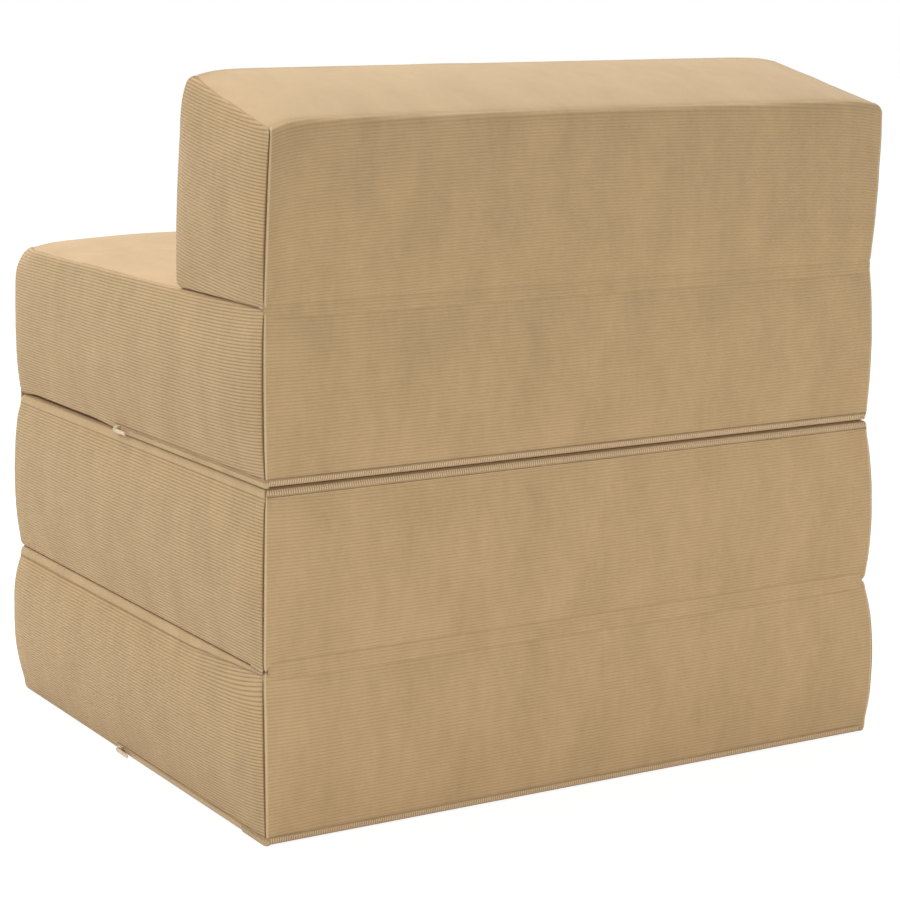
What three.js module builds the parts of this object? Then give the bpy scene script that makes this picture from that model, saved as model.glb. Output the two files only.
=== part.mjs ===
// A folding sofa bed: four foam blocks in corduroy covers, joined edge to edge by cloth hinges.
// Three flat blocks are stacked, and a wedge-shaped backrest leans on the rear of the top one.
// Millimetres. +X runs along the hinges, +Y points to the rear of the sofa, +Z is up.
// The origin lies on the floor, below the middle of the bottom block.
import * as THREE from "three";

// The flat blocks, measured between their seams.
const blockWidth = 700;
const blockDepth = 605;
const blockHeight = 164;

// The backrest wedge: the lengths of its sides in section and how far they lean back.
const backrestDepth = 187;
const backrestRearHeight = 164;
const backrestFrontHeight = 197;
const backrestRearLean = THREE.MathUtils.degToRad(8.8);
const backrestFrontLean = THREE.MathUtils.degToRad(5.9);
const backrestEndTaper = 4;

// How far the padded faces swell beyond their seams.
const sideCrown = 7;
const endCrown = 8;
const seatCrown = 7;
const backrestTopCrown = 5;
const backrestFrontCrown = 8;
const backrestRearRidgeLift = 7;
const backrestFrontRidgeLift = 8;

// How far an edge is drawn in towards the block, and the height of the side that this takes.
const floorEdge = { draw: 3, height: 12 };
const zipEdge = { draw: 5, height: 12 };
const plainEdge = { draw: 4, height: 9 };
const ridgeEdge = { draw: 9, height: 9 };

// The cover and what it holds.
const coverWall = 2;
const panelRim = 2;
const clearance = 0.3;

// The cloth hinges.
const hingeClothThickness = 1.5;
const hingeAxisRoom = 0.2;
const hingeEndMargin = 12;

// The zips.
const tapeThickness = 1.2;
const coilThickness = 1.2;
const zipEndMargin = 14;
const zipReachAlongEnd = 340;
const coilStop = 16;
const sliderLength = 11;
const sliderWidth = 7.5;
const sliderThickness = 3;
const sliderNeck = 4.5;
const pullLength = 24;
const pullWidth = 6;
const pullThickness = 1.2;
const pullEye = 1.6;

// The zip strips across an edge's rounding, as shares of it: the tape covers its upper two thirds,
// and the coil runs along the middle of the tape.
const tapeStrip = {
  fromShare: 1 / 3,
  toShare: 1,
  steps: 2,
  inner: clearance,
  outer: clearance + tapeThickness,
};
const coilStrip = {
  fromShare: 0.52,
  toShare: 0.8,
  steps: 2,
  inner: 2 * clearance + tapeThickness,
  outer: 2 * clearance + tapeThickness + coilThickness,
};

// Exponents of the swelling across and along a face: higher keeps the middle flatter.
const crownPower = 2.5;
const seatCrownPower = 2;
const alongPower = 5;
const panelPower = 4;
const endDrawPower = 8;

// Places as shares of the side, half width or half block that they follow.
const longSideShares = [0.06, 0.18, 0.34, 0.5, 0.66, 0.82, 0.94];
const shortSideShares = [0.12, 0.35, 0.65, 0.88];
const halfStationShares = [0, 0.35, 0.62, 0.8, 0.91, 0.97, 1];
const cornerSteps = 3;

// The rings of an end panel's face, from its rim inwards: their distances from the rim.
const panelRings = [
  { across: 2, up: 1.6 },
  { across: 12, up: 6 },
  { across: 40, up: 12 },
  { across: 150, up: 40 },
];

const colours = {
  corduroy: 0xb7997a,
  foam: 0xf1e6bf,
  tape: 0xa98d68,
  coil: 0x6f5a44,
  slider: 0xdcc7a2,
  hingeCloth: 0xab8d67,
};

const rightAngle = Math.PI / 2;
const halfDepth = blockDepth / 2;
const hingeAxisOut = sideCrown + hingeAxisRoom;
const corduroy = () => material("corduroy", colours.corduroy, 0.95, 0);
const foam = () => material("foam", colours.foam, 1, 0);
const tapeCloth = () => material("zip tape", colours.tape, 0.9, 0);
const coilPlastic = () => material("zip coil", colours.coil, 0.5, 0);
const sliderPaint = () => material("zip slider", colours.slider, 0.4, 0.3);
const hingeCloth = () => material("hinge cloth", colours.hingeCloth, 0.95, 0);

function material(name, color, roughness, metalness) {
  const made = new THREE.MeshStandardMaterial({ color, roughness, metalness });
  made.name = name;
  return made;
}

// A closed surface built from rings of points.
class Surface {
  constructor() {
    this.places = [];
    this.faces = [];
  }

  point(place) {
    this.places.push(place.x, place.y, place.z);
    return this.places.length / 3 - 1;
  }

  ring(places) {
    return places.map((place) => this.point(place));
  }

  // Joins two closed rings that run the same way round.
  wall(first, second) {
    first.forEach((a, i) => {
      const next = (i + 1) % first.length;
      this.faces.push(a, first[next], second[next]);
      this.faces.push(a, second[next], second[i]);
    });
  }

  // Closes a ring with triangles to one point.
  fan(ring, tip) {
    ring.forEach((a, i) => this.faces.push(a, ring[(i + 1) % ring.length], tip));
  }

  // Closes the end of a strip whose ring runs out along one side and back along the other.
  stripEnd(ring) {
    const half = ring.length / 2;
    for (let i = 0; i < half - 1; i++) {
      const j = ring.length - 1 - i;
      this.faces.push(ring[i], ring[i + 1], ring[j]);
      this.faces.push(ring[i + 1], ring[j - 1], ring[j]);
    }
  }

  geometry() {
    const made = new THREE.BufferGeometry();
    made.setAttribute("position", new THREE.Float32BufferAttribute(this.places, 3));
    made.setIndex(this.faces);
    made.computeVertexNormals();
    return made;
  }
}

// The share of a face's swelling left at a place from -1 to 1 across it.
const swell = (place, power) => 1 - Math.min(1, Math.abs(place)) ** power;

// How far an edge is drawn in at a height above it.
function drawnIn(edge, height) {
  const left = Math.max(0, 1 - height / edge.height);
  return edge.draw * (1 - Math.sqrt(1 - left * left));
}

// A block's section: four corners in the YZ plane, from the lower front one round by the rear.
// The sides are, in turn, the underside, the rear, the top and the front.
class Section {
  constructor({ corners, crowns, powers, bottomEdge, topEdge, lift, taper }) {
    this.corners = corners;
    this.crowns = crowns;
    this.powers = powers;
    this.edges = [bottomEdge, bottomEdge, topEdge, topEdge];
    this.lift = lift;
    this.taper = taper;
    this.lengths = corners.map((c, i) => c.distanceTo(corners[(i + 1) % corners.length]));
  }

  // The place in the section at u from the front (-1) to the rear (1), v from the bottom to the top.
  at(u, v) {
    const [a, b, c, d] = this.corners;
    const low = a.clone().lerp(b, (u + 1) / 2);
    const high = d.clone().lerp(c, (u + 1) / 2);
    return low.lerp(high, (v + 1) / 2);
  }

  edgeNear(v) {
    return v < 0 ? this.edges[0] : this.edges[2];
  }

  // The height of a place above its nearer edge.
  heightFromEdge(u, v) {
    const side = THREE.MathUtils.lerp(this.lengths[3], this.lengths[1], (u + 1) / 2);
    return ((1 - Math.abs(v)) * side) / 2;
  }

  // The points round the section, each with its u and v, its side and its share of that side's crown.
  outline() {
    const points = [];
    for (let side = 0; side < this.corners.length; side++) {
      points.push(...this.cornerPoints(side), ...this.sidePoints(side));
    }
    return points;
  }

  // A corner's rounding, a quarter of an ellipse that ends on the side before and on its own side.
  cornerPoints(corner) {
    const points = [];
    const edge = this.edges[corner];
    const upright = corner % 2;
    for (let step = 0; step <= cornerSteps; step++) {
      const angle = (rightAngle * step) / cornerSteps;
      const before = 1 - Math.sin(angle);
      const after = 1 - Math.cos(angle);
      const across = edge.draw * (upright ? before : after);
      const up = edge.height * (upright ? after : before);
      const acrossLength = this.lengths[corner < 2 ? 0 : 2];
      const upLength = this.lengths[corner === 1 || corner === 2 ? 1 : 3];
      const toRear = corner === 1 || corner === 2 ? 1 : -1;
      const toTop = corner < 2 ? -1 : 1;
      points.push({
        u: toRear * (1 - (2 * across) / acrossLength),
        v: toTop * (1 - (2 * up) / upLength),
        side: corner,
        swelling: 0,
        draw: across,
      });
    }
    return points;
  }

  sidePoints(side) {
    const level = side % 2 === 0;
    const next = (side + 1) % this.corners.length;
    const startEdge = this.edges[side];
    const endEdge = this.edges[next];
    const length = this.lengths[side];
    const startCut = (level ? startEdge.draw : startEdge.height) / length;
    const endCut = (level ? endEdge.draw : endEdge.height) / length;
    return (level ? longSideShares : shortSideShares).map((share) => {
      const along = THREE.MathUtils.lerp(startCut, 1 - endCut, share);
      const place = 2 * along - 1;
      const u = [place, 1, -place, -1][side];
      const v = [-1, place, 1, -place][side];
      return {
        u,
        v,
        side,
        swelling: swell(2 * share - 1, this.powers[side]),
        draw: level ? startEdge.draw : 0,
      };
    });
  }

  // The outward direction of a side.
  outward(side) {
    const along = this.corners[(side + 1) % this.corners.length].clone().sub(this.corners[side]);
    return new THREE.Vector2(along.y, -along.x).normalize();
  }

  // The rise of the top ridges at a place, all but nothing at the block's ends.
  rise(u, v, along) {
    const lift = THREE.MathUtils.lerp(this.lift[0], this.lift[1], (u + 1) / 2);
    return lift * ((v + 1) / 2) * along;
  }

  // How far in the block's ends lie at a height, none at the bottom and the whole taper at the top.
  narrowing(v) {
    return (this.taper * (v + 1)) / 2;
  }

  // The same section drawn in by a distance on every side, with flat faces.
  inset(distance) {
    const corners = this.corners.map((corner, i) => {
      const before = (i + this.corners.length - 1) % this.corners.length;
      return insetCorner(corner, this.outward(before), this.outward(i), distance);
    });
    const shrink = (edge) => ({
      draw: edge.draw - distance / 2,
      height: edge.height - distance / 2,
    });
    return new Section({
      corners,
      crowns: [0, 0, 0, 0],
      powers: this.powers,
      bottomEdge: shrink(this.edges[0]),
      topEdge: shrink(this.edges[2]),
      lift: [0, 0],
      taper: 0,
    });
  }
}

// Where two sides meet after both move inwards by a distance.
function insetCorner(corner, first, second, distance) {
  const share = distance / (1 + first.dot(second));
  return corner.clone().sub(first.clone().add(second).multiplyScalar(share));
}

// A point of the cover's wrap at a station from -1 to 1 along the block.
function wrapPoint(section, point, station) {
  const along = swell(station, alongPower);
  const place = section.at(point.u, point.v);
  place.addScaledVector(
    section.outward(point.side),
    section.crowns[point.side] * point.swelling * along,
  );
  const end = Math.abs(station);
  const reach =
    end * blockWidth / 2 -
    end ** endDrawPower * (section.narrowing(point.v) + point.draw + panelRim + clearance);
  return new THREE.Vector3(
    Math.sign(station) * reach,
    place.x,
    place.y + section.rise(point.u, point.v, along),
  );
}

// The wrap: the cloth that goes round the block, open at both ends, with a straight bore for the foam.
function wrapGeometry(section) {
  const surface = new Surface();
  const outline = section.outline();
  const bore = section.inset(coverWall).outline();
  const right = halfStationShares.slice(1);
  const left = right.map((share) => -share).reverse();
  const stations = [...left, 0, ...right];
  const rings = stations.map((station) =>
    surface.ring(outline.map((point) => wrapPoint(section, point, station))),
  );
  for (const end of [1, -1]) {
    rings.push(surface.ring(bore.map((point, i) => {
      const rim = wrapPoint(section, outline[i], end);
      const place = section.inset(coverWall).at(point.u, point.v);
      return new THREE.Vector3(rim.x, place.x, place.y);
    })));
  }
  rings.forEach((ring, i) => surface.wall(ring, rings[(i + 1) % rings.length]));
  return surface.geometry();
}

// A point on the right-hand end panel's face.
function panelPoint(section, u, v) {
  const edge = section.edgeNear(v);
  const height = section.heightFromEdge(u, v);
  const side = THREE.MathUtils.lerp(section.lengths[3], section.lengths[1], (u + 1) / 2);
  const free = side / 2 - edge.height;
  const fromMiddle = Math.max(0, side / 2 - height) / free;
  const crown = endCrown * swell(u, panelPower) * swell(fromMiddle, crownPower);
  const place = section.at(u, v);
  const x = blockWidth / 2 - section.narrowing(v) - drawnIn(edge, height) + crown;
  return new THREE.Vector3(x, place.x, place.y);
}

// The right-hand end panel, a padded plate that closes the wrap.
function panelGeometry(section) {
  const surface = new Surface();
  const outline = section.outline();
  const rim = outline.map((point) => {
    const place = section.at(point.u, point.v);
    const x = blockWidth / 2 - section.narrowing(point.v) - point.draw;
    return new THREE.Vector3(x, place.x, place.y);
  });
  const back = rim.map((place) => place.clone().setX(place.x - panelRim));
  const rings = [back, rim];
  for (const { across, up } of panelRings) {
    rings.push(outline.map((point) => {
      const acrossLength = (section.lengths[0] + section.lengths[2]) / 2;
      const upLength = (section.lengths[1] + section.lengths[3]) / 2;
      const u = point.u * Math.max(0, 1 - (2 * across * ringShare(section)) / acrossLength);
      const v = point.v * Math.max(0, 1 - (2 * up) / upLength);
      return panelPoint(section, u, v);
    }));
  }
  const ids = rings.map((ring) => surface.ring(ring));
  ids.slice(1).forEach((ring, i) => surface.wall(ids[i], ring));
  surface.fan(ids[ids.length - 1], surface.point(panelPoint(section, 0, 0)));
  const bore = section.inset(coverWall);
  const ledge = surface.ring(bore.outline().map((point, i) => {
    const place = bore.at(point.u, point.v);
    return new THREE.Vector3(back[i].x, place.x, place.y);
  }));
  surface.wall(ledge, ids[0]);
  const centre = section.at(0, 0);
  const inner = Math.min(...back.map((place) => place.x));
  surface.fan([...ledge].reverse(), surface.point(new THREE.Vector3(inner, centre.x, centre.y)));
  return surface.geometry();
}

// How much closer to its rim a block's panel has its rings than the deepest block's panel.
function ringShare(section) {
  return section.lengths[0] / blockDepth;
}

// The foam core, a straight block that fills the wrap's bore and stops short of both end panels.
function coreGeometry(section) {
  const core = section.inset(coverWall + clearance);
  const shape = new THREE.Shape(core.outline().map((point) => core.at(point.u, point.v)));
  const deepestDraw = Math.max(...section.edges.map((edge) => edge.draw));
  const endRoom = section.taper + deepestDraw + panelRim + 2 * clearance;
  return extrudedAlongX(shape, blockWidth - 2 * endRoom);
}

// A shape drawn in Y and Z, extruded along X and centred on it.
function extrudedAlongX(shape, length) {
  const made = new THREE.ExtrudeGeometry(shape, { depth: length, bevelEnabled: false });
  made.translate(0, 0, -length / 2);
  const swap = new THREE.Matrix4().set(0, 0, 1, 0, 1, 0, 0, 0, 0, 1, 0, 0, 0, 0, 0, 1);
  return made.applyMatrix4(swap);
}

// An edge of a block where a zip runs: its corner, its way out and its way up the side.
function edgeFrame(section, corner) {
  const start = section.corners[corner];
  const acrossFrom = section.corners[[1, 0, 3, 2][corner]];
  const aboveOrBelow = section.corners[[3, 2, 1, 0][corner]];
  return {
    edge: section.edges[corner],
    start,
    out: start.clone().sub(acrossFrom).normalize(),
    up: aboveOrBelow.clone().sub(start).normalize(),
  };
}

// A place on the rounded edge: how far out and how far up it lies, raised off the cloth by a distance.
function onEdge(edge, angle, raised) {
  const out = edge.height * Math.sin(angle);
  const down = edge.draw * Math.cos(angle);
  const size = Math.hypot(out, down);
  return {
    out: -edge.draw * (1 - Math.sin(angle)) + (raised * out) / size,
    up: edge.height * (1 - Math.cos(angle)) - (raised * down) / size,
  };
}

// The outline of a strip that lies on the rounded edge.
function stripOutline(edge, { fromShare, toShare, steps, inner, outer }) {
  const angles = Array.from(
    { length: steps + 1 },
    (_, i) => rightAngle * THREE.MathUtils.lerp(fromShare, toShare, i / steps),
  );
  return [
    ...angles.map((angle) => onEdge(edge, angle, inner)),
    ...[...angles].reverse().map((angle) => onEdge(edge, angle, outer)),
  ];
}

// A strip along a long edge. A reach above zero takes it round onto the block's end, and one below
// zero stops it short of its usual end.
function edgeStripGeometry(section, corner, strip, reach) {
  const frame = edgeFrame(section, corner);
  const outline = stripOutline(frame.edge, strip);
  const at = (x, point) => {
    const place = frame.start.clone();
    place.addScaledVector(frame.out, point.out).addScaledVector(frame.up, point.up);
    return new THREE.Vector3(x, place.x, place.y);
  };
  const half = blockWidth / 2;
  const rings = [outline.map((point) => at(zipEndMargin - half, point))];
  if (reach > 0) {
    rings.push(outline.map((point) => at(half + point.out, point)));
    rings.push(outline.map((point) => {
      const turned = at(half + point.out, { out: 0, up: point.up });
      return turned.setY(turned.y - Math.sign(frame.out.x) * reach);
    }));
  } else {
    rings.push(outline.map((point) => at(half - zipEndMargin + reach, point)));
  }
  return closedStrip(rings);
}

// A strip through its sections, closed at both ends and facing out.
function closedStrip(rings) {
  const surface = new Surface();
  const ids = rings.map((ring) => surface.ring(ring));
  ids.slice(1).forEach((ring, i) => surface.wall(ids[i], ring));
  surface.stripEnd([...ids[0]].reverse());
  surface.stripEnd(ids[ids.length - 1]);
  if (volume(surface) < 0) surface.faces.reverse();
  return surface.geometry();
}

// Six times the volume that a surface holds, below zero if it faces inwards.
function volume(surface) {
  const corner = (i) => new THREE.Vector3().fromArray(surface.places, 3 * surface.faces[i]);
  let sum = 0;
  for (let i = 0; i < surface.faces.length; i += 3) {
    sum += corner(i).dot(corner(i + 1).cross(corner(i + 2)));
  }
  return sum;
}

// The slider body, a plate with a narrow neck, drawn along the zip and across it.
function sliderGeometry() {
  const shape = new THREE.Shape([
    new THREE.Vector2(-sliderLength / 2, -sliderNeck / 2),
    new THREE.Vector2(0, -sliderWidth / 2),
    new THREE.Vector2(sliderLength / 2, -sliderWidth / 2),
    new THREE.Vector2(sliderLength / 2, sliderWidth / 2),
    new THREE.Vector2(0, sliderWidth / 2),
    new THREE.Vector2(-sliderLength / 2, sliderNeck / 2),
  ]);
  return new THREE.ExtrudeGeometry(shape, { depth: sliderThickness, bevelEnabled: false });
}

// The pull, a flat tab with a round end and an eye.
function pullGeometry() {
  const half = pullWidth / 2;
  const shape = new THREE.Shape();
  shape.moveTo(0, -half);
  shape.lineTo(pullLength - half, -half);
  shape.absarc(pullLength - half, 0, half, -rightAngle, rightAngle, false);
  shape.lineTo(0, half);
  shape.closePath();
  const eye = new THREE.Path();
  eye.absarc(pullEye * 2, 0, pullEye, 0, 4 * rightAngle, true);
  shape.holes.push(eye);
  return new THREE.ExtrudeGeometry(shape, {
    depth: pullThickness,
    bevelEnabled: false,
    curveSegments: 10,
  });
}

// Half of a cloth hinge: a strip from the block's edge to the hinge axis, above or below its plane.
function hingeLeafGeometry(edge, axisOut, upwards) {
  const low = clearance / 2;
  const high = low + hingeClothThickness;
  const lowAngle = angleAtHeight(edge, low);
  const highAngle = angleAtHeight(edge, high);
  const out = axisOut - clearance / 2;
  const inLow = onEdge(edge, lowAngle, 0).out + 2 * clearance;
  const inHigh = onEdge(edge, highAngle, 0).out + 2 * clearance;
  const shape = new THREE.Shape([
    new THREE.Vector2(inLow, upwards * low),
    new THREE.Vector2(out, upwards * low),
    new THREE.Vector2(out, upwards * high),
    new THREE.Vector2(inHigh, upwards * high),
  ]);
  return extrudedAlongX(shape, blockWidth - 2 * hingeEndMargin);
}

// The angle round the edge's rounding at a height above the edge.
function angleAtHeight(edge, height) {
  return Math.acos(1 - Math.min(1, height / edge.height));
}

// The section of a flat block on a level, a hair below the next one.
function flatSection(level, bottomEdge, topEdge, topCrown) {
  const low = level * blockHeight + (level ? clearance / 2 : 0);
  const high = (level + 1) * blockHeight - clearance / 2;
  return new Section({
    corners: [
      new THREE.Vector2(-halfDepth, low),
      new THREE.Vector2(halfDepth, low),
      new THREE.Vector2(halfDepth, high),
      new THREE.Vector2(-halfDepth, high),
    ],
    crowns: [0, sideCrown, topCrown, sideCrown],
    powers: [crownPower, crownPower, seatCrownPower, crownPower],
    bottomEdge,
    topEdge,
    lift: [0, 0],
    taper: 0,
  });
}

// The wedge stands on the seat's swell: its underside rises as steeply as the seat does at its rear edge.
function wedgeSection() {
  const seatRise = Math.atan2(2 * seatCrownPower * seatCrown, blockDepth - 2 * plainEdge.draw);
  const lowRear = new THREE.Vector2(halfDepth, 3 * blockHeight + clearance);
  const lowFront = new THREE.Vector2(
    lowRear.x - backrestDepth * Math.cos(seatRise),
    lowRear.y + backrestDepth * Math.sin(seatRise),
  );
  const leaning = (foot, height, lean) =>
    new THREE.Vector2(foot.x + height * Math.sin(lean), foot.y + height * Math.cos(lean));
  return new Section({
    corners: [
      lowFront,
      lowRear,
      leaning(lowRear, backrestRearHeight, backrestRearLean),
      leaning(lowFront, backrestFrontHeight, backrestFrontLean),
    ],
    crowns: [0, sideCrown, backrestTopCrown, backrestFrontCrown],
    powers: [crownPower, crownPower, crownPower, crownPower],
    bottomEdge: plainEdge,
    topEdge: ridgeEdge,
    lift: [backrestFrontRidgeLift, backrestRearRidgeLift],
    taper: backrestEndTaper,
  });
}

function mesh(name, geometry, dress) {
  const made = new THREE.Mesh(geometry, dress);
  made.name = name;
  return made;
}

// A block in its cover: the foam core, the wrap and the two end panels.
function block(name, section) {
  const group = new THREE.Group();
  const panel = panelGeometry(section);
  const right = mesh(`${name}_end_panel_right`, panel, corduroy());
  const left = mesh(`${name}_end_panel_left`, panel.clone(), corduroy());
  left.scale.x = -1;
  group.add(
    mesh(`${name}_foam_core`, coreGeometry(section), foam()),
    mesh(`${name}_cover_wrap`, wrapGeometry(section), corduroy()),
    right,
    left,
  );
  return group;
}

// A block's zip: tape and coil along an edge, then a slider and its pull where the coil ends.
function zip(name, section, corner, reach, mirrored) {
  const group = new THREE.Group();
  const coilReach = reach - coilStop;
  group.add(
    mesh(`${name}_zip_tape`, edgeStripGeometry(section, corner, tapeStrip, reach), tapeCloth()),
    mesh(`${name}_zip_coil`, edgeStripGeometry(section, corner, coilStrip, coilReach), coilPlastic()),
    sliderGroup(name, section, corner, coilReach),
  );
  if (mirrored) group.scale.x = -1;
  return group;
}

// The slider lies on the tape just past the coil, with its pull laid back over it.
function sliderGroup(name, section, corner, coilReach) {
  const frame = edgeFrame(section, corner);
  const angle = (rightAngle * (coilStrip.fromShare + coilStrip.toShare)) / 2;
  const place = onEdge(frame.edge, angle, 2 * clearance + tapeThickness);
  const tilt = Math.atan2(frame.edge.draw * Math.cos(angle), frame.edge.height * Math.sin(angle));
  const pastCoil = clearance + sliderLength / 2;
  const onEnd = coilReach > 0;
  const side = Math.sign(frame.out.x);
  const out = onEnd ? new THREE.Vector3(1, 0, 0) : new THREE.Vector3(0, frame.out.x, frame.out.y);
  const up = new THREE.Vector3(0, frame.up.x, frame.up.y);
  const back = onEnd ? new THREE.Vector3(0, side, 0) : new THREE.Vector3(-1, 0, 0);
  const edgeEnd = new THREE.Vector3(blockWidth / 2, frame.start.x, frame.start.y);
  const alongCoil = onEnd ? -coilReach : zipEndMargin - coilReach;

  const group = new THREE.Group();
  const slider = mesh(`${name}_zip_slider`, sliderGeometry(), sliderPaint());
  const pull = mesh(`${name}_zip_pull`, pullGeometry(), sliderPaint());
  pull.position.set(-sliderLength / 2, 0, sliderThickness + clearance);
  group.add(slider, pull);

  const normal = out.clone().multiplyScalar(Math.cos(tilt)).addScaledVector(up, -Math.sin(tilt));
  const basis = new THREE.Matrix4().makeBasis(back, normal.clone().cross(back), normal);
  group.quaternion.setFromRotationMatrix(basis);
  group.position.copy(edgeEnd);
  group.position.addScaledVector(out, place.out).addScaledVector(up, place.up);
  group.position.addScaledVector(back, alongCoil - pastCoil);
  return group;
}

// The two leaves of a cloth hinge, one on each block, meeting at the hinge axis.
function hinge(name, lowerBlock, upperBlock, level, side, lowerEdge, upperEdge) {
  const group = new THREE.Group();
  const lower = mesh(
    `${name}_hinge_leaf_${lowerBlock}`,
    hingeLeafGeometry(lowerEdge, hingeAxisOut, -1),
    hingeCloth(),
  );
  const upper = mesh(
    `${name}_hinge_leaf_${upperBlock}`,
    hingeLeafGeometry(upperEdge, hingeAxisOut, 1),
    hingeCloth(),
  );
  group.add(lower, upper);
  group.rotation.z = side > 0 ? 0 : Math.PI;
  group.position.set(0, side * halfDepth, level * blockHeight);
  return group;
}

const bottomSection = flatSection(0, floorEdge, plainEdge, 0);
const middleSection = flatSection(1, plainEdge, zipEdge, 0);
const seatSection = flatSection(2, zipEdge, plainEdge, seatCrown);
const backrestSection = wedgeSection();

const sofaBed = new THREE.Group();
sofaBed.name = "folding_sofa_bed";
sofaBed.add(
  block("bottom", bottomSection),
  block("middle", middleSection),
  block("seat", seatSection),
  block("backrest", backrestSection),
  zip("bottom", bottomSection, 1, zipReachAlongEnd, false),
  zip("middle", middleSection, 2, zipReachAlongEnd, true),
  zip("seat", seatSection, 1, zipReachAlongEnd, false),
  zip("backrest", backrestSection, 0, 0, false),
  hinge("lower", "bottom", "middle", 1, 1, plainEdge, plainEdge),
  hinge("upper", "middle", "seat", 2, -1, zipEdge, zipEdge),
  hinge("back", "seat", "backrest", 3, 1, plainEdge, plainEdge),
);

export default sofaBed;
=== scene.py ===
"""Studio scene of a folding sofa bed: corduroy covers, zips and cloth hinges dressed over the frame."""
import logging
import math
from dataclasses import dataclass, field
from enum import Enum
from typing import Callable, Sequence

import bmesh
import bpy
import numpy as np
from mathutils import Matrix, Vector, noise


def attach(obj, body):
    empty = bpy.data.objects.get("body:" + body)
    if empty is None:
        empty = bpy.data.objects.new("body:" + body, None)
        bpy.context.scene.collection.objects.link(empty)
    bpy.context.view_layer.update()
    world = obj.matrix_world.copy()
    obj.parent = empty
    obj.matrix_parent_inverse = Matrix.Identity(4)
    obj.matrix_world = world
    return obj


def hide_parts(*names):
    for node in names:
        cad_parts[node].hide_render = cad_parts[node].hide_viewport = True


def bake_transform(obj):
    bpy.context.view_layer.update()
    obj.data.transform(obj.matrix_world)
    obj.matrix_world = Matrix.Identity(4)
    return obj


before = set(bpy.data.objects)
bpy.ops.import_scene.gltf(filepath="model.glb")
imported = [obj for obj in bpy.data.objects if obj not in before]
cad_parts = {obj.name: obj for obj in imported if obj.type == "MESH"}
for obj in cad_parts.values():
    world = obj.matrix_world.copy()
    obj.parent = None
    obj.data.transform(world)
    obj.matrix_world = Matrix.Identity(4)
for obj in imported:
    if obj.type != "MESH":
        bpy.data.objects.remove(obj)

# Short names for the types that the hints use.
Socket = bpy.types.NodeSocket
Thing = bpy.types.Object
Array = np.ndarray
Material = bpy.types.Material
Stops = Sequence[tuple[float, Sequence[float]]]

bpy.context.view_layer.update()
MM = 0.001
TINY = 1e-12
LOG = logging.getLogger("sofa_bed")

# The flat blocks, measured between their seams, and the heights of the seams between them.
BLOCK_WIDTH = 700 * MM
BLOCK_DEPTH = 605 * MM
BLOCK_HEIGHT = 164 * MM
HALF_WIDTH = BLOCK_WIDTH / 2
HALF_DEPTH = BLOCK_DEPTH / 2
CLEARANCE = 0.3 * MM
SEAM_LEVELS = (0.0, BLOCK_HEIGHT, 334 * MM, 496 * MM)
END_INSETS = (-1 * MM, -1.5 * MM, 2.5 * MM, 3 * MM, 4 * MM)

# The backrest: the sides of its section, how far they lean back, and the seat's swell below it.
BACKREST_DEPTH = 187 * MM
BACKREST_REAR_HEIGHT = 163.5 * MM
BACKREST_FRONT_HEIGHT = 196 * MM
BACKREST_REAR_LEAN = math.radians(5.1)
BACKREST_FRONT_LEAN = math.radians(6.3)
SEAT_SWELL = 7 * MM

# A place beyond this share of the half width, depth or height lies on the face itself.
ON_FACE_SHARE = 0.999999

# How a face's swelling falls off: a higher power keeps its middle flatter.
UP_POWER = 2.5
ALONG_POWER = 5
END_POWER = 8
PANEL_POWER = 4
FLARE_POWER = 4
CORNER_POWER = 30
GAPE_POWER = 10

# The quick rise of a padded face beside its seam: how far it reaches and its share of the crown.
SIDE_RISE_REACH = 12 * MM
SIDE_RISE_SHARE = 0.3
END_RISE_REACH = 32 * MM
END_RISE_SHARE = 0.7

# Corners, rims and the gaping edge: reaches in metres, or shares of the half depth or width.
SOFT_REACH = 28 * MM
SOFT_DEPTH = 30 * MM
RIM_WIDTH = 28 * MM
DRAWN_FRONT_SHARE = 0.3
CLOSING_REACH = 20 * MM
CLOSING_SHARE = 0.8
CLOSING_START_SHARE = 0.5
GAPE_START_SHARE = 0.12
GAPE_RISE_SHARE = 0.2
GAPE_END_SHARE = 0.12
GAPE_BESIDE_SHARES = (0.88, 0.1)


class Face(Enum):
    """The six cloth faces of a block."""

    UNDERSIDE = "underside"
    REAR = "rear"
    TOP = "top"
    FRONT = "front"
    RIGHT_END = "right_end"
    LEFT_END = "left_end"


class Level(Enum):
    """The lower or the upper edge of a block, with the way up its side."""

    LOWER = 1
    UPPER = -1


@dataclass(frozen=True)
class Edge:
    """How a block's edge is drawn in.

    Args:
        draw: How far in the edge lies, in metres.
        height: The height of the side that the rounding takes, in metres.
    """

    draw: float
    height: float

    def drawn_in(self, height: Array) -> Array:
        """How far in the side lies at heights above the edge, in metres."""
        left = np.clip(1 - height / self.height, 0, 1)
        return self.draw * (1 - np.sqrt(1 - left * left))

    def raised(self, turn: float, lift: float) -> tuple[float, float]:
        """A place on the rounding or above it.

        Args:
            turn: The angle round the rounding, from the flat face to the side.
            lift: The height of the place above the cloth, in metres.

        Returns:
            How far out and how far up from the edge the place lies.
        """
        out = self.height * math.sin(turn)
        down = self.draw * math.cos(turn)
        size = math.hypot(out, down)
        return (
            -self.draw * (1 - math.sin(turn)) + lift * out / size,
            self.height * (1 - math.cos(turn)) - lift * down / size,
        )


ZIP_EDGE = Edge(5 * MM, 12 * MM)
FLOOR_EDGE = Edge(3 * MM, 12 * MM)
PLAIN_EDGE = Edge(4 * MM, 9 * MM)
RIDGE_EDGE = Edge(9 * MM, 9 * MM)


# Finishes


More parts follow.
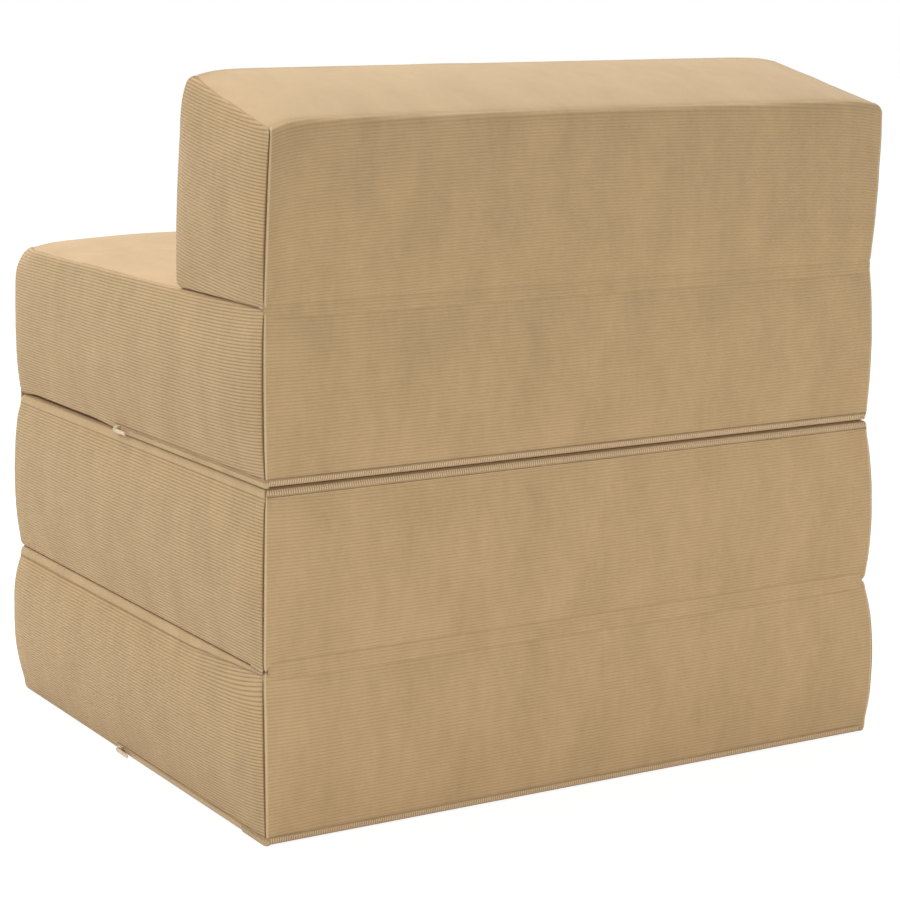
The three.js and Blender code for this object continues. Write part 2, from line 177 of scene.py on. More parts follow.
def linear(hex_colour: str) -> tuple[float, float, float]:
    """The linear red, green and blue of a screen colour of six hexadecimal digits."""
    parts = [int(hex_colour[i:i + 2], 16) / 255 for i in (0, 2, 4)]
    return tuple(p / 12.92 if p <= 0.04045 else ((p + 0.055) / 1.055) ** 2.4 for p in parts)


def grey(value: float) -> tuple[float, float, float]:
    """A grey of one value."""
    return (value, value, value)


@dataclass(frozen=True)
class Grain:
    """A noise pattern, with the shades that it gives a colour.

    Args:
        scale: Features per metre.
        detail: The noise's detail.
        roughness: The noise's roughness.
        shades: Positions on the noise with the shades there.
    """

    scale: float
    detail: float = 2
    roughness: float = 0.5
    shades: Stops = ()


class NodeTree:
    """A small helper that adds and joins shader nodes."""

    def __init__(self, owner: Material | bpy.types.World, shader: str = "Principled BSDF") -> None:
        """Starts from the shader that a new material or world has.

        Args:
            owner: The material or the world.
            shader: The name of its shader.
        """
        self.owner = owner
        owner.use_nodes = True
        self.nodes = owner.node_tree.nodes
        self.links = owner.node_tree.links
        self.shader = self.nodes[shader]

    def add(self, kind: str, **values: object) -> bpy.types.Node:
        """Adds a node and sets its properties.

        Args:
            kind: The node's type name without the ShaderNode prefix.
            values: Properties of the node, by name.

        Returns:
            The new node.
        """
        node = self.nodes.new("ShaderNode" + kind)
        for key, value in values.items():
            setattr(node, key, value)
        return node

    def join(self, source: object, target: Socket) -> None:
        """Joins an output to an input, or sets the input to a value.

        Args:
            source: The output's socket, or a number or colour.
            target: The input's socket.
        """
        if isinstance(source, Socket):
            self.links.new(source, target)
        else:
            target.default_value = source

    def surface(self, inputs: dict[str, object]) -> Material:
        """Joins or sets inputs of the shader.

        Args:
            inputs: Sockets, numbers or colours, by the input's name.

        Returns:
            The material.
        """
        for name, source in inputs.items():
            self.join(source, self.shader.inputs[name])
        return self.owner

    def math(self, operation: str, *inputs: object) -> Socket:
        """Adds a Math node.

        Args:
            operation: The Math operation.
            inputs: Its inputs in order, sockets or numbers.

        Returns:
            The result's socket.
        """
        node = self.add("Math", operation=operation)
        for source, target in zip(inputs, node.inputs):
            self.join(source, target)
        return node.outputs[0]

    def attribute(self, name: str) -> Socket:
        """The value of a mesh attribute."""
        return self.add("Attribute", attribute_name=name).outputs["Fac"]

    def noise(self, vector: Socket, grain: Grain) -> Socket:
        """Adds a Noise Texture.

        Args:
            vector: The coordinates' socket.
            grain: The pattern.

        Returns:
            The factor's socket.
        """
        node = self.add("TexNoise")
        self.join(vector, node.inputs["Vector"])
        node.inputs["Scale"].default_value = grain.scale
        node.inputs["Detail"].default_value = grain.detail
        node.inputs["Roughness"].default_value = grain.roughness
        return node.outputs["Fac"]

    def ramp(self, factor: Socket, stops: Stops) -> Socket:
        """Adds a colour ramp.

        Args:
            factor: The socket that drives it.
            stops: Positions with linear colours.

        Returns:
            The colour's socket.
        """
        node = self.add("ValToRGB")
        self.join(factor, node.inputs["Fac"])
        elements = node.color_ramp.elements
        while len(elements) < len(stops):
            elements.new(0.5)
        for element, (position, colour) in zip(elements, stops):
            element.position = position
            element.color = (*colour, 1)
        return node.outputs["Color"]

    def mix(self, factor: object, first: object, second: object, blend: str = "MIX") -> Socket:
        """Adds a colour mix.

        Args:
            factor: A socket or number from 0 to 1.
            first: The first colour, a socket or four numbers.
            second: The second colour, a socket or four numbers.
            blend: The blend type.

        Returns:
            The result's socket.
        """
        node = self.add("Mix", data_type="RGBA", blend_type=blend)
        self.join(factor, node.inputs["Factor"])
        self.join(first, node.inputs[6])
        self.join(second, node.inputs[7])
        return node.outputs[2]

    def shade(self, colour: Socket, pattern: Socket, stops: Stops) -> Socket:
        """Multiplies a colour by stops that follow a pattern, and gives the result's socket."""
        return self.mix(1.0, colour, self.ramp(pattern, stops), "MULTIPLY")

    def bump(
        self, height: Socket, distance: float, strength: float, after: Socket | None = None
    ) -> Socket:
        """Adds a Bump node.

        Args:
            height: The height's socket, from 0 to 1.
            distance: The depth of the relief, in metres.
            strength: The bump's strength.
            after: The normal that the bump is added to.

        Returns:
            The normal's socket.
        """
        node = self.add("Bump")
        self.join(height, node.inputs["Height"])
        node.inputs["Distance"].default_value = distance
        node.inputs["Strength"].default_value = strength
        if after is not None:
            self.join(after, node.inputs["Normal"])
        return node.outputs["Normal"]


# How the cloths take the light, and the shades of the tapes' weave.
SHEEN_TINT = (1.0, 0.93, 0.82, 1)
PILE_SURFACE = {
    "Roughness": 0.92,
    "Specular IOR Level": 0.15,
    "Sheen Weight": 0.25,
    "Sheen Roughness": 0.5,
    "Sheen Tint": SHEEN_TINT,
}
TAPE_SURFACE = {"Roughness": 0.85, "Sheen Weight": 0.15, "Sheen Tint": SHEEN_TINT}
WEAVE_SHADES = ((0.3, grey(0.9)), (0.7, grey(1.05)))


@dataclass(frozen=True)
class Corduroy:
    """Fine corduroy, with wales along the first texture axis and a soft blotchy nap.

    Args:
        name: The material's name.
        pile: The colour on top of the wales.
        groove: The darker colour between the wales, partly the cloth's own and partly painted shade in
            the grooves.
        painted_seam_shade: The painted shade down in a seam, a dark colour where the seam's groove lies
            in shadow.
        folded: The painted highlight on the cloth's folded edge beside a seam, a paler colour where the
            raised fold catches the light.
        painted_top_sheen: The painted sheen, a pale colour that lightens pile pressed flat, mainly on
            the top, as if it caught more light.
        pitch: The distance from wale to wale, in metres.
        relief: The height of the wales, in metres.
        relief_strength: The strength of the wales' bump.
        fibre_relief: The height of the fibres, in metres.
        fibre_strength: The strength of the fibres' bump.
        stray: How far the wales stray from straight lines, in metres.
        straying: The pattern by which they stray.
        uneven: The pattern of the pile between the wales.
        uneven_share: The share of the wales' height that this pile reaches.
        fibre: The pattern of the fibres.
        nap: The blotches of the nap.
        streaks: The streaks of the nap.
        stretch: How the blotches and streaks are stretched.
        full_share: The share of the wales' height from which they have the pile's colour.
        crown_power: The power that rounds the wales: lower makes them broader.
        welt_highlight_share: How far the folded edge takes its painted highlight.
        painted_top_sheen_share: How far pressed pile takes the painted sheen.
    """

    name: str = "corduroy"
    pile: str = "CBAD82"
    groove: str = "BA9A70"
    painted_seam_shade: str = "86683F"
    folded: str = "E4CBA3"
    painted_top_sheen: str = "F0D2B2"
    pitch: float = 3.07 * MM
    relief: float = 0.28 * MM
    relief_strength: float = 0.8
    fibre_relief: float = 0.15 * MM
    fibre_strength: float = 0.7
    stray: float = 1.2 * MM
    straying: Grain = Grain(14)
    uneven: Grain = Grain(220, 3, 0.6)
    uneven_share: float = 0.55
    fibre: Grain = Grain(1500, 2, 0.7, ((0.3, grey(0.95)), (0.7, grey(1.04))))
    nap: Grain = Grain(13, 4, 0.6, ((0.3, (0.91, 0.91, 0.9)), (0.5, grey(0.985)), (0.7, grey(1.05))))
    streaks: Grain = Grain(60, 3, 0.6, ((0.3, grey(0.97)), (0.7, grey(1.03))))
    stretch: tuple[float, float, float] = (1.7, 0.7, 1.0)
    full_share: float = 0.75
    crown_power: float = 0.6
    welt_highlight_share: float = 0.8
    painted_top_sheen_share: float = 0.2

    def material(self) -> Material:
        """Builds the cloth's material.

        Returns:
            The material.
        """
        tree = NodeTree(bpy.data.materials.new(self.name))
        place = tree.add("UVMap", uv_map="Cloth").outputs["UV"]
        # Pile pressed flat: it flattens the wales, and the same share weights the painted sheen on the
        # top.
        crushed = tree.attribute("crushed")
        fibre = tree.noise(place, self.fibre)
        rounded = tree.math("MAXIMUM", self.wales(tree, place), crushed)
        colour = self.brushed_colour(tree, place, rounded, fibre)
        # Painted shade: a dark colour down the seams, where their grooves lie in shadow.
        colour = tree.mix(tree.attribute("seam"), colour, (*linear(self.painted_seam_shade), 1))
        # Painted highlight: a paler colour on the raised fold beside each seam, where it catches the
        # light.
        welt = tree.math("MULTIPLY", tree.attribute("welt"), self.welt_highlight_share)
        colour = tree.mix(welt, colour, (*linear(self.folded), 1))
        # Painted sheen: a paler colour on the pressed pile of the top, as if it caught more light.
        top_sheen = tree.math("MULTIPLY", crushed, self.painted_top_sheen_share)
        colour = tree.mix(top_sheen, colour, (*linear(self.painted_top_sheen), 1))
        normal = tree.bump(rounded, self.relief, self.relief_strength)
        normal = tree.bump(fibre, self.fibre_relief, self.fibre_strength, normal)
        return tree.surface({"Base Color": colour, "Normal": normal, **PILE_SURFACE})

    def wales(self, tree: NodeTree, place: Socket) -> Socket:
        """The height of the wales.

        Args:
            tree: The node tree.
            place: The texture place.

        Returns:
            The height's socket, from 0 to 1.
        """
        parts = tree.add("SeparateXYZ")
        tree.join(place, parts.inputs[0])
        straying = tree.noise(place, self.straying)
        across = tree.math("MULTIPLY_ADD", straying, self.stray, parts.outputs["Y"])
        wave = tree.math("SINE", tree.math("MULTIPLY", across, 2 * math.pi / self.pitch))
        wale = tree.math("MULTIPLY", tree.math("ADD", wave, 1.0), 0.5)
        uneven = tree.math("MULTIPLY", tree.noise(place, self.uneven), self.uneven_share)
        return tree.math("MAXIMUM", tree.math("POWER", wale, self.crown_power), uneven)

    def brushed_colour(self, tree: NodeTree, place: Socket, rounded: Socket, fibre: Socket) -> Socket:
        """The colour of the wales with the shades of the nap.

        Args:
            tree: The node tree.
            place: The texture place.
            rounded: The height of the wales.
            fibre: The pattern of the fibres.

        Returns:
            The colour's socket.
        """
        brush = tree.add("VectorMath", operation="MULTIPLY")
        tree.join(place, brush.inputs[0])
        brush.inputs[1].default_value = self.stretch
        # The grooves between the wales take a darker colour: partly the cloth's own, partly painted
        # shade.
        colour = tree.ramp(rounded, [(0.0, linear(self.groove)), (self.full_share, linear(self.pile))])
        for grain in (self.nap, self.streaks):
            colour = tree.shade(colour, tree.noise(brush.outputs[0], grain), grain.shades)
        return tree.shade(colour, fibre, self.fibre.shades)


@dataclass(frozen=True)
class WovenTape:
    """Flat woven tape, or the smooth back of a folded cloth strip.

    Args:
        name: The material's name.
        colour: The tape's colour.
        rib: Ribs per metre.
        relief: The height of the ribs, in metres.
        relief_strength: The strength of their bump.
        cloudy: The pattern of its lighter and darker places.
        cloud_shares: Positions on that pattern with the share of the colour there.
    """

    name: str
    colour: str
    rib: float = 900
    relief: float = 0.15 * MM
    relief_strength: float = 0.6
    cloudy: Grain = Grain(25, 3)
    cloud_shares: Sequence[tuple[float, float]] = ((0.3, 0.88), (0.7, 1.08))

    def material(self) -> Material:
        """Builds the tape's material.

        Returns:
            The material.
        """
        tree = NodeTree(bpy.data.materials.new(self.name))
        place = tree.add("TexCoord").outputs["Object"]
        weave = tree.noise(place, Grain(self.rib, 2, 0.6))
        stops = [(at, [share * part for part in linear(self.colour)]) for at, share in self.cloud_shares]
        colour = tree.ramp(tree.noise(place, self.cloudy), stops)
        colour = tree.shade(colour, weave, WEAVE_SHADES)
        normal = tree.bump(weave, self.relief, self.relief_strength)
        return tree.surface({"Base Color": colour, "Normal": normal, **TAPE_SURFACE})


@dataclass(frozen=True)
class Moulded:
    """Smooth plastic or enamel with fine wear.

    Args:
        name: The material's name.
        colour: The surface's colour.
        roughness: Its roughness.
        worn: The colour that shows where it is rubbed.
        roughness_range: By how much the roughness varies.
        relief: The height of its fine waves, in metres.
        relief_strength: The strength of their bump.
        mottle: The pattern of its fine waves.
        wear: The pattern of its rubbed places.
    """

    name: str
    colour: str
    roughness: float
    worn: str
    roughness_range: float = 0.12
    relief: float = 0.03 * MM
    relief_strength: float = 0.4
    mottle: Grain = Grain(400, 3)
    wear: Grain = Grain(120, 4, 0.65, ((0.62, grey(0)), (0.7, grey(1))))

    def material(self) -> Material:
        """Builds the material.

        Returns:
            The material.
        """
        tree = NodeTree(bpy.data.materials.new(self.name))
        place = tree.add("TexCoord").outputs["Object"]
        mottled = tree.noise(place, self.mottle)
        worn = tree.ramp(tree.noise(place, self.wear), self.wear.shades)
        colour = tree.mix(worn, (*linear(self.colour), 1), (*linear(self.worn), 1))
        least = self.roughness - self.roughness_range / 2
        rough = tree.math("MULTIPLY_ADD", mottled, self.roughness_range, least)
        normal = tree.bump(mottled, self.relief, self.relief_strength)
        return tree.surface({"Base Color": colour, "Roughness": rough, "Normal": normal})


CORDUROY = Corduroy()
# The same corduroy for the end panels: deeper relief and a much darker groove colour, painted shade
# between the wales as where light rakes across the ends. Its sheen colour matches its pile, so the ends
# show no painted sheen.
END_CORDUROY_PAINTED_SHADE = Corduroy(
    "corduroy_end", pile="CCAE83", groove="99784A", painted_top_sheen="CBAD83", relief=0.6 * MM
)
TAPE = WovenTape("zip_tape", "B8986F")
FACING = WovenTape("cloth_facing", "C9AC7F", 700)
THREAD = WovenTape("sewing_thread", "F0DDBB", 1500)
COIL = Moulded("zip_coil", "DCC29B", 0.5, "CDB188")
ENAMEL = Moulded("zip_enamel", "E3D0AC", 0.35, "C9B48C")


# Mesh making


def new_mesh(
    name: str, points: Array, faces: Sequence[Sequence[int]], uv: Array | None = None
) -> Thing:
    """Makes a smooth mesh object.

    Args:
        name: The object's name.
        points: Vertex places, in metres.
        faces: Vertex numbers of each face.
        uv: Texture places for each face corner, or None.

    Returns:
        The object, linked to the scene.
    """
    mesh = bpy.data.meshes.new(name)
    mesh.from_pydata([tuple(p) for p in points], [], [tuple(int(i) for i in f) for f in faces])
    mesh.update()
    mesh.polygons.foreach_set("use_smooth", np.ones(len(mesh.polygons), bool))
    if uv is not None:
        layer = mesh.uv_layers.new(name="Cloth")
        layer.data.foreach_set("uv", np.asarray(uv, np.float32).ravel())
    return place_mesh(name, mesh)


def place_mesh(name: str, mesh: bpy.types.Mesh) -> Thing:
    """Puts a mesh into the scene.

    Args:
        name: The object's name.
        mesh: The mesh.

    Returns:
        The object.
    """
    thing = bpy.data.objects.new(name, mesh)
    bpy.context.scene.collection.objects.link(thing)
    return thing


def dress(thing: Thing, material: Material) -> None:
    """Gives a piece its material.

    Args:
        thing: The piece.
        material: The material.
    """
    thing.data.materials.clear()
    thing.data.materials.append(material)


def face_outwards(thing: Thing) -> None:
    """Turns a closed mesh's faces outwards.

    Args:
        thing: The piece.
    """
    work = bmesh.new()
    work.from_mesh(thing.data)
    bmesh.ops.recalc_face_normals(work, faces=work.faces)
    work.to_mesh(thing.data)
    work.free()


def tube_faces(ring: Sequence[int], step: int, count: int) -> list[tuple[int, ...]]:
    """The faces of a tube between rings of points.

    Args:
        ring: The first ring's point numbers, in order.
        step: By how much the numbers grow from ring to ring.
        count: How many spans the tube has.

    Returns:
        The faces, four point numbers each.
    """
    faces = []
    for near in range(0, count * step, step):
        far = near + step
        for i, first in enumerate(ring):
            second = ring[(i + 1) % len(ring)]
            faces.append((near + first, near + second, far + second, far + first))
    return faces


def quads(first: int, second: int, flip: bool, pick: Callable) -> Array:
    """The faces of one side of a lattice.

    Args:
        first: The number of cells one way.
        second: The number of cells the other way.
        flip: Whether the faces are turned over.
        pick: Gives the point numbers at two arrays of places.

    Returns:
        Four point numbers for each face.
    """
    a, b = (g.ravel() for g in np.meshgrid(np.arange(first), np.arange(second), indexing="ij"))
    corners = [pick(a, b), pick(a + 1, b), pick(a + 1, b + 1), pick(a, b + 1)]
    return np.column_stack(corners[::-1] if flip else corners)


def graded(length: float, cell: float, start: Sequence[float], end: Sequence[float]) -> Array:
    """Places from -1 to 1 along a length, with set distances from both ends.

    Args:
        length: The whole length, in metres.
        cell: The usual distance between places.
        start: Distances from the start.
        end: Distances from the end.

    Returns:
        The places.
    """
    low, high = start[-1], length - end[-1]
    count = max(2, round((high - low) / cell))
    inner = np.linspace(low, high, count + 1)[1:-1]
    places = np.concatenate([[0], start, inner, (length - np.array(end))[::-1], [length]])
    return 2 * places / length - 1


def between(first: float, last: float, place: Array) -> Array:
    """Values that change evenly from one at -1 to another at 1, at places between."""
    return first + (last - first) * (place + 1) / 2


def ramped(value: Array, start: float, length: float) -> Array:
    """Shares that leave 0 at a start value and reach 1 a length further."""
    return np.clip((value - start) / length, 0, 1)


@dataclass(frozen=True)
class Places:
    """Places on a block.

    Args:
        u: From the front, -1, to the rear, 1.
        v: From the bottom, -1, to the top, 1.
        w: From the left end, -1, to the right end, 1.
    """

    u: Array
    v: Array
    w: Array

    def beside_end(self) -> Array:
        """Their distances from the nearer end, in metres."""
        return (1 - np.abs(self.w)) * HALF_WIDTH

    def on_ends(self) -> Array:
        """Whether each is on an end."""
        return np.abs(self.w) > ON_FACE_SHARE

    def on_right_end(self) -> Array:
        """Whether each is on the right-hand end."""
        return self.w > ON_FACE_SHARE

    def on_sides(self) -> Array:
        """Whether each is on the front or the rear."""
        return np.abs(self.u) > ON_FACE_SHARE

    def on_top(self) -> Array:
        """Whether each is on the top."""
        return self.v > ON_FACE_SHARE


@dataclass
class BlockShape:
    """The outer form of one block.

    Args:
        name: The block's name, which is its body's name.
        corners: The section's corners in Y and Z: lower front, lower rear, upper rear, upper front.
        lower: The lower edges' rounding.
        upper: The upper edges' rounding.
        rear_crown: How far the rear swells.
        front_crown: How far the front swells.
        top_crown: How far the top swells.
        end_crown: How far the ends swell.
        top_power: The exponent of the top's swelling.
        lift: How far the upper front and rear ridges rise between the ends.
        insets: How far in the ends lie at the bottom and at the top.
        seam_swell: How far the upright corner seams swell to the front and rear between their ends.
        end_swell: How far those seams swell out past the ends.
        gape: How far the front half of the right-hand end's lower edge stands open.
        hollows: How far the underside and the top lie in behind their raised rims.
        wale_tilt: The wales' fall towards the rear on the ends, as an angle.
        wale_bend: How far the ends' wales rise at the rear corners.
        wale_arch: How far the rear's wales rise between the ends.
        rear_pitch_share: The rear's wale pitch as a share of the usual one.
        wale_rise: How far the rear's wales rise at its corners, or 0 where they fan out.
        seam_line: The height below the upper edge of a seam across the right-hand end, or 0.
        line_share: How much painted shade that seam takes, as a share of a corner seam's.
        closes: Whether that seam runs into the rear corner.
        lift_power: The exponent of the lift's fall towards the ends.
        soft_corner: How far the upper front corners are rounded off.
        flare: How far the lower edge of the left-hand end stands out.
        end_draw_share: The share of the upper edge's draw that its ends have.
        straight_share: The share of the end swell that the right-hand rear corner is without.
        drawn_down: How far the right-hand end's upper edge is drawn down.
        rests_on: The block below that the underside follows, or None.
    """

    name: str
    corners: Array
    lower: Edge
    upper: Edge
    rear_crown: float = 1.3 * MM
    front_crown: float = 2.5 * MM
    top_crown: float = 0.0
    end_crown: float = 6 * MM
    top_power: float = 2.0
    lift: tuple[float, float] = (0.0, 0.0)
    insets: tuple[float, float] = (0.0, 0.0)
    seam_swell: float = 3.5 * MM
    end_swell: float = 3.5 * MM
    gape: float = 0.0
    hollows: tuple[float, float] = (0.0, 0.0)
    wale_tilt: float = 0.0
    wale_bend: float = 0.0
    wale_arch: float = 0.0
    rear_pitch_share: float = 1.0
    wale_rise: float = 0.0
    seam_line: float = 0.0
    line_share: float = 0.3
    closes: bool = False
    lift_power: float = 5.0
    soft_corner: float = 0.0
    flare: float = 0.0
    end_draw_share: float = 1.0
    straight_share: float = 0.0
    drawn_down: float = 0.0
    rests_on: "BlockShape | None" = None

    def lengths(self) -> Array:
        """The lengths of the section's four sides, from the underside round by the rear."""
        return np.linalg.norm(np.roll(self.corners, -1, axis=0) - self.corners, axis=1)

    def outward(self, side: int) -> Array:
        """The outward direction of a side of the section, in Y and Z."""
        along = self.corners[(side + 1) % 4] - self.corners[side]
        return np.array([along[1], -along[0]]) / np.linalg.norm(along)

    def section(self, u: Array, v: Array) -> Array:
        """Places in the section.

        Args:
            u: From the front, -1, to the rear, 1.
            v: From the bottom, -1, to the top, 1.

        Returns:
            The places in Y and Z.
        """
        a, b, c, d = self.corners
        s = ((u + 1) / 2)[:, None]
        t = ((v + 1) / 2)[:, None]
        return (a * (1 - s) + b * s) * (1 - t) + (d * (1 - s) + c * s) * t

    def upright(self, u: Array) -> Array:
        """The section's height at places from the front to the rear."""
        lengths = self.lengths()
        return between(lengths[3], lengths[1], u)

    def level(self, v: Array) -> Array:
        """The section's depth at places from the bottom to the top."""
        lengths = self.lengths()
        return between(lengths[0], lengths[2], v)

    def surface(self, at: Places) -> Array:
        """Places on the block's cloth.

        Args:
            at: The places on the block.

        Returns:
            The same places in X, Y and Z.
        """
        draw, swell = self.side_profile(at)
        out = self.seam_swell * swell - draw
        yz = self.section(at.u * (1 + 2 * out / self.level(at.v)), at.v)
        past_end = self.end_reach(at, draw, swell)
        x = at.w * HALF_WIDTH + np.sign(at.w) * np.abs(at.w) ** END_POWER * past_end
        yz = self.crowned(yz, at, swell)
        x = x + self.end_bulge(at, swell)
        pulled = self.corner_pull(at)
        x = x - np.sign(at.w) * pulled
        points = np.column_stack([x, yz[:, 0] + pulled, yz[:, 1] + self.risen(at)])
        if self.rests_on is not None:
            points[:, 2] += self.settling(at, points)
        return points

    def side_profile(self, at: Places) -> tuple[Array, Array]:
        """How the upright sides are drawn in at their edges and swell between them.

        Args:
            at: The places on the block.

        Returns:
            How far in each place is drawn, in metres, and its share of the swelling.
        """
        half = self.upright(at.u) / 2
        height = (1 - np.abs(at.v)) * half
        low = at.v < 0
        draw = np.where(low, self.lower.drawn_in(height), self.upper.drawn_in(height))
        rounding = np.where(low, self.lower.height, self.upper.height)
        place = np.clip((half - height) / (half - rounding), 0, 1)
        return draw, 1 - place ** UP_POWER

    def end_reach(self, at: Places, draw: Array, swell: Array) -> Array:
        """How far the ends' seams lie beyond the half width.

        Args:
            at: The places on the block.
            draw: How far in the sides are drawn.
            swell: The share of the swelling up the sides.

        Returns:
            The distances.
        """
        straight = self.straight_share * (at.w > 0) * ((at.u + 1) / 2) ** 2
        drawn = draw * np.where(at.v < 0, 1, self.end_draw_share)
        flared = self.flare * (at.w < 0) * ((1 - at.v) / 2) ** FLARE_POWER
        narrowing = between(*self.insets, at.v)
        return self.end_swell * swell * (1 - straight) - drawn + flared - narrowing

    def crowned(self, yz: Array, at: Places, swell: Array) -> Array:
        """Adds the swelling of the rear, the front and the top.

        Args:
            yz: The section's places in Y and Z.
            at: The places on the block.
            swell: The share of the swelling up the sides.

        Returns:
            The places in Y and Z.
        """
        along = 1 - np.abs(at.w) ** ALONG_POWER
        beside = self.rounded_rise(at.beside_end(), SIDE_RISE_REACH, SIDE_RISE_SHARE)
        side_swell = swell * ((1 - SIDE_RISE_SHARE) * along + beside)
        top_swell = (1 - np.abs(at.u) ** self.top_power) * along
        for side, on_side, amount in (
            (1, at.u > ON_FACE_SHARE, self.rear_crown * side_swell),
            (3, at.u < -ON_FACE_SHARE, self.front_crown * side_swell),
            (2, at.on_top(), self.top_crown * top_swell),
        ):
            yz = yz + (on_side * amount)[:, None] * self.outward(side)
        return yz

    def end_bulge(self, at: Places, swell: Array) -> Array:
        """How far the faces of the ends swell out.

        Args:
            at: The places on the block.
            swell: The share of the swelling up the sides.

        Returns:
            The moves along X.
        """
        beside_seam = (1 - np.abs(at.u)) * self.level(at.v) / 2
        beside = self.rounded_rise(beside_seam, END_RISE_REACH, END_RISE_SHARE)
        share = (1 - END_RISE_SHARE) * (1 - np.abs(at.u) ** PANEL_POWER) + beside
        return at.on_ends() * np.sign(at.w) * self.end_crown * swell * share

    def risen(self, at: Places) -> Array:
        """How far the lifted ridges, the drawn corners and the hollows move each place.

        Args:
            at: The places on the block.

        Returns:
            The moves along Z.
        """
        up = (at.v + 1) / 2
        rise = between(*self.lift, at.u) * up * (1 - np.abs(at.w) ** self.lift_power)
        drawn = between(DRAWN_FRONT_SHARE, 1, at.u) * up * np.clip(at.w, 0, 1) ** CORNER_POWER
        rise = rise - self.drawn_down * drawn
        if self.closes:
            below = self.upright(at.u) / 2 * (1 - at.v)
            fading = 1 - ramped(below, self.seam_line, CLOSING_REACH)
            rearward = ramped(at.u, CLOSING_START_SHARE, 1 - CLOSING_START_SHARE)
            rise = rise + at.on_right_end() * below * fading * CLOSING_SHARE * rearward
        forward = ramped(-at.u, GAPE_START_SHARE, GAPE_RISE_SHARE)
        forward = forward * ramped(1 - np.abs(at.u), 0, GAPE_END_SHARE)
        beside = ramped(at.w, *GAPE_BESIDE_SHARES)
        rise = rise + self.gape * forward * beside * (1 - up) ** GAPE_POWER
        beside_rim = np.minimum((1 - np.abs(at.u)) * self.level(at.v) / 2, at.beside_end())
        inner = 1 - np.exp(-((beside_rim / RIM_WIDTH) ** 2))
        below_rim = self.hollows[0] * (at.v < -ON_FACE_SHARE)
        return rise - inner * np.where(at.v > 0, self.hollows[1] * at.on_top(), below_rim)

    def corner_pull(self, at: Places) -> Array:
        """How far the upper front corners are rounded off.

        Args:
            at: The places on the block.

        Returns:
            The moves inwards from the front and from the end.
        """
        from_corner = np.hypot((1 + at.u) * self.level(at.v) / 2, at.beside_end())
        from_top = 1 - ramped((1 - at.v) * self.upright(at.u) / 2, 0, SOFT_DEPTH)
        return self.soft_corner * from_top ** 2 * np.exp(-((from_corner / SOFT_REACH) ** 2))

    def settling(self, at: Places, points: Array) -> Array:
        """How far each place moves so that the underside follows the block below.

        Args:
            at: The places on the block.
            points: The same places in X, Y and Z, before.

        Returns:
            The moves along Z.
        """
        foot = self.section(at.u, np.full_like(at.u, -1.0))
        target = self.rests_on.top_height(points[:, 0], foot[:, 0]) + CLEARANCE
        return (target - foot[:, 1]) * np.clip((1 - at.v) / 2, 0, 1) ** 3

    def top_height(self, x: Array, y: Array) -> Array:
        """The height of a flat block's top.

        Args:
            x: Places along the width.
            y: Places across the depth.

        Returns:
            The heights.
        """
        u = np.clip(y / HALF_DEPTH, -1, 1)
        swell = 1 - np.clip(np.abs(x) / HALF_WIDTH, 0, 1) ** ALONG_POWER
        crown = self.top_crown * (1 - np.abs(u) ** self.top_power)
        return self.corners[2][1] + (crown + between(*self.lift, u)) * swell

    @staticmethod
    def rounded_rise(distance: Array, reach: float, share: float) -> Array:
        """The share of the crown that a face has, within its reach, at distances from a seam."""
        left = np.clip(1 - distance / reach, 0, 1)
        return share * np.sqrt(1 - left * left)


# The lattice of a cover: its cells across, up and along, and its lines beside seams and edges.
CELLS = (11 * MM, 8.8 * MM, 12.1 * MM)
SEAM_LINES = (0.9 * MM, 1.9 * MM, 3.2 * MM, 6.5 * MM)
ROUNDING_ANGLES = (18, 36, 54, 72, 90)
CROSS_LINE_STEP = 0.9 * MM
CROSS_LINE_NEAR = 0.3 * MM

# What the swelling holds: edges up to this share of their rounding, and a width beside seams.
ROUNDING_SHARE = 1.001
SEAM_HOLD = 1 * MM

# The cloth's settings while it swells, and how far it may move on the sides and elsewhere.
CLOTH_SETTINGS = {
    "quality": 4,
    "mass": 0.3,
    "tension_stiffness": 12,
    "compression_stiffness": 12,
    "shear_stiffness": 4,
    "bending_stiffness": 0.4,
    "use_pressure": True,
    "uniform_pressure_force": 4,
    "vertex_group_mass": "held",
    "pin_stiffness": 4,
}
SWELL_FRAMES = 20
SIDE_CAP = 1.2 * MM
FACE_CAP = 3.5 * MM

# The cloth's waves and its puckers, which grow towards the ends: waves per metre, and heights.
WAVE_PITCH = 9
WAVE_HEIGHT = 0.9 * MM
PUCKER_PITCHES = (30, 30, 55)
PUCKER_HEIGHT = 0.35 * MM
END_PUCKER_HEIGHT = 0.5 * MM
PUCKER_REACH = 45 * MM
SEED_CYCLE = 17
SEED_PLACE = (3.1, 5.7)

# The seams round an end panel, and the one across it: the depths of their grooves and raised folds, with
# the shares of the painted shade down them and the painted highlight beside them.
GROOVE_DEPTH = 1.9 * MM
WELT_HEIGHT = 0.6 * MM
LEVEL_RIM_SHARE = 0.35
BESIDE_RIM_SHARE = 0.45
FIRST_FOLD_SHARE = 0.6
CROSS_SEAM_WIDTH = 1.6 * MM
CROSS_SEAM_DEPTH = 1.2 * MM

# How the wales bend beside the corner seams, and where they are pressed flat, which also weights the
# painted sheen there.
WALE_BEND_REACH = 70 * MM
WALE_FAN = 3 * MM
WALE_FAN_REACH = 32 * MM
TOP_CRUSHED_SHARE = 0.75
BAND_CRUSHED_SHARE = 0.7
RIDGE_FADE = (2.5 * MM, 5 * MM)
BAND_FADE = 1.5 * MM


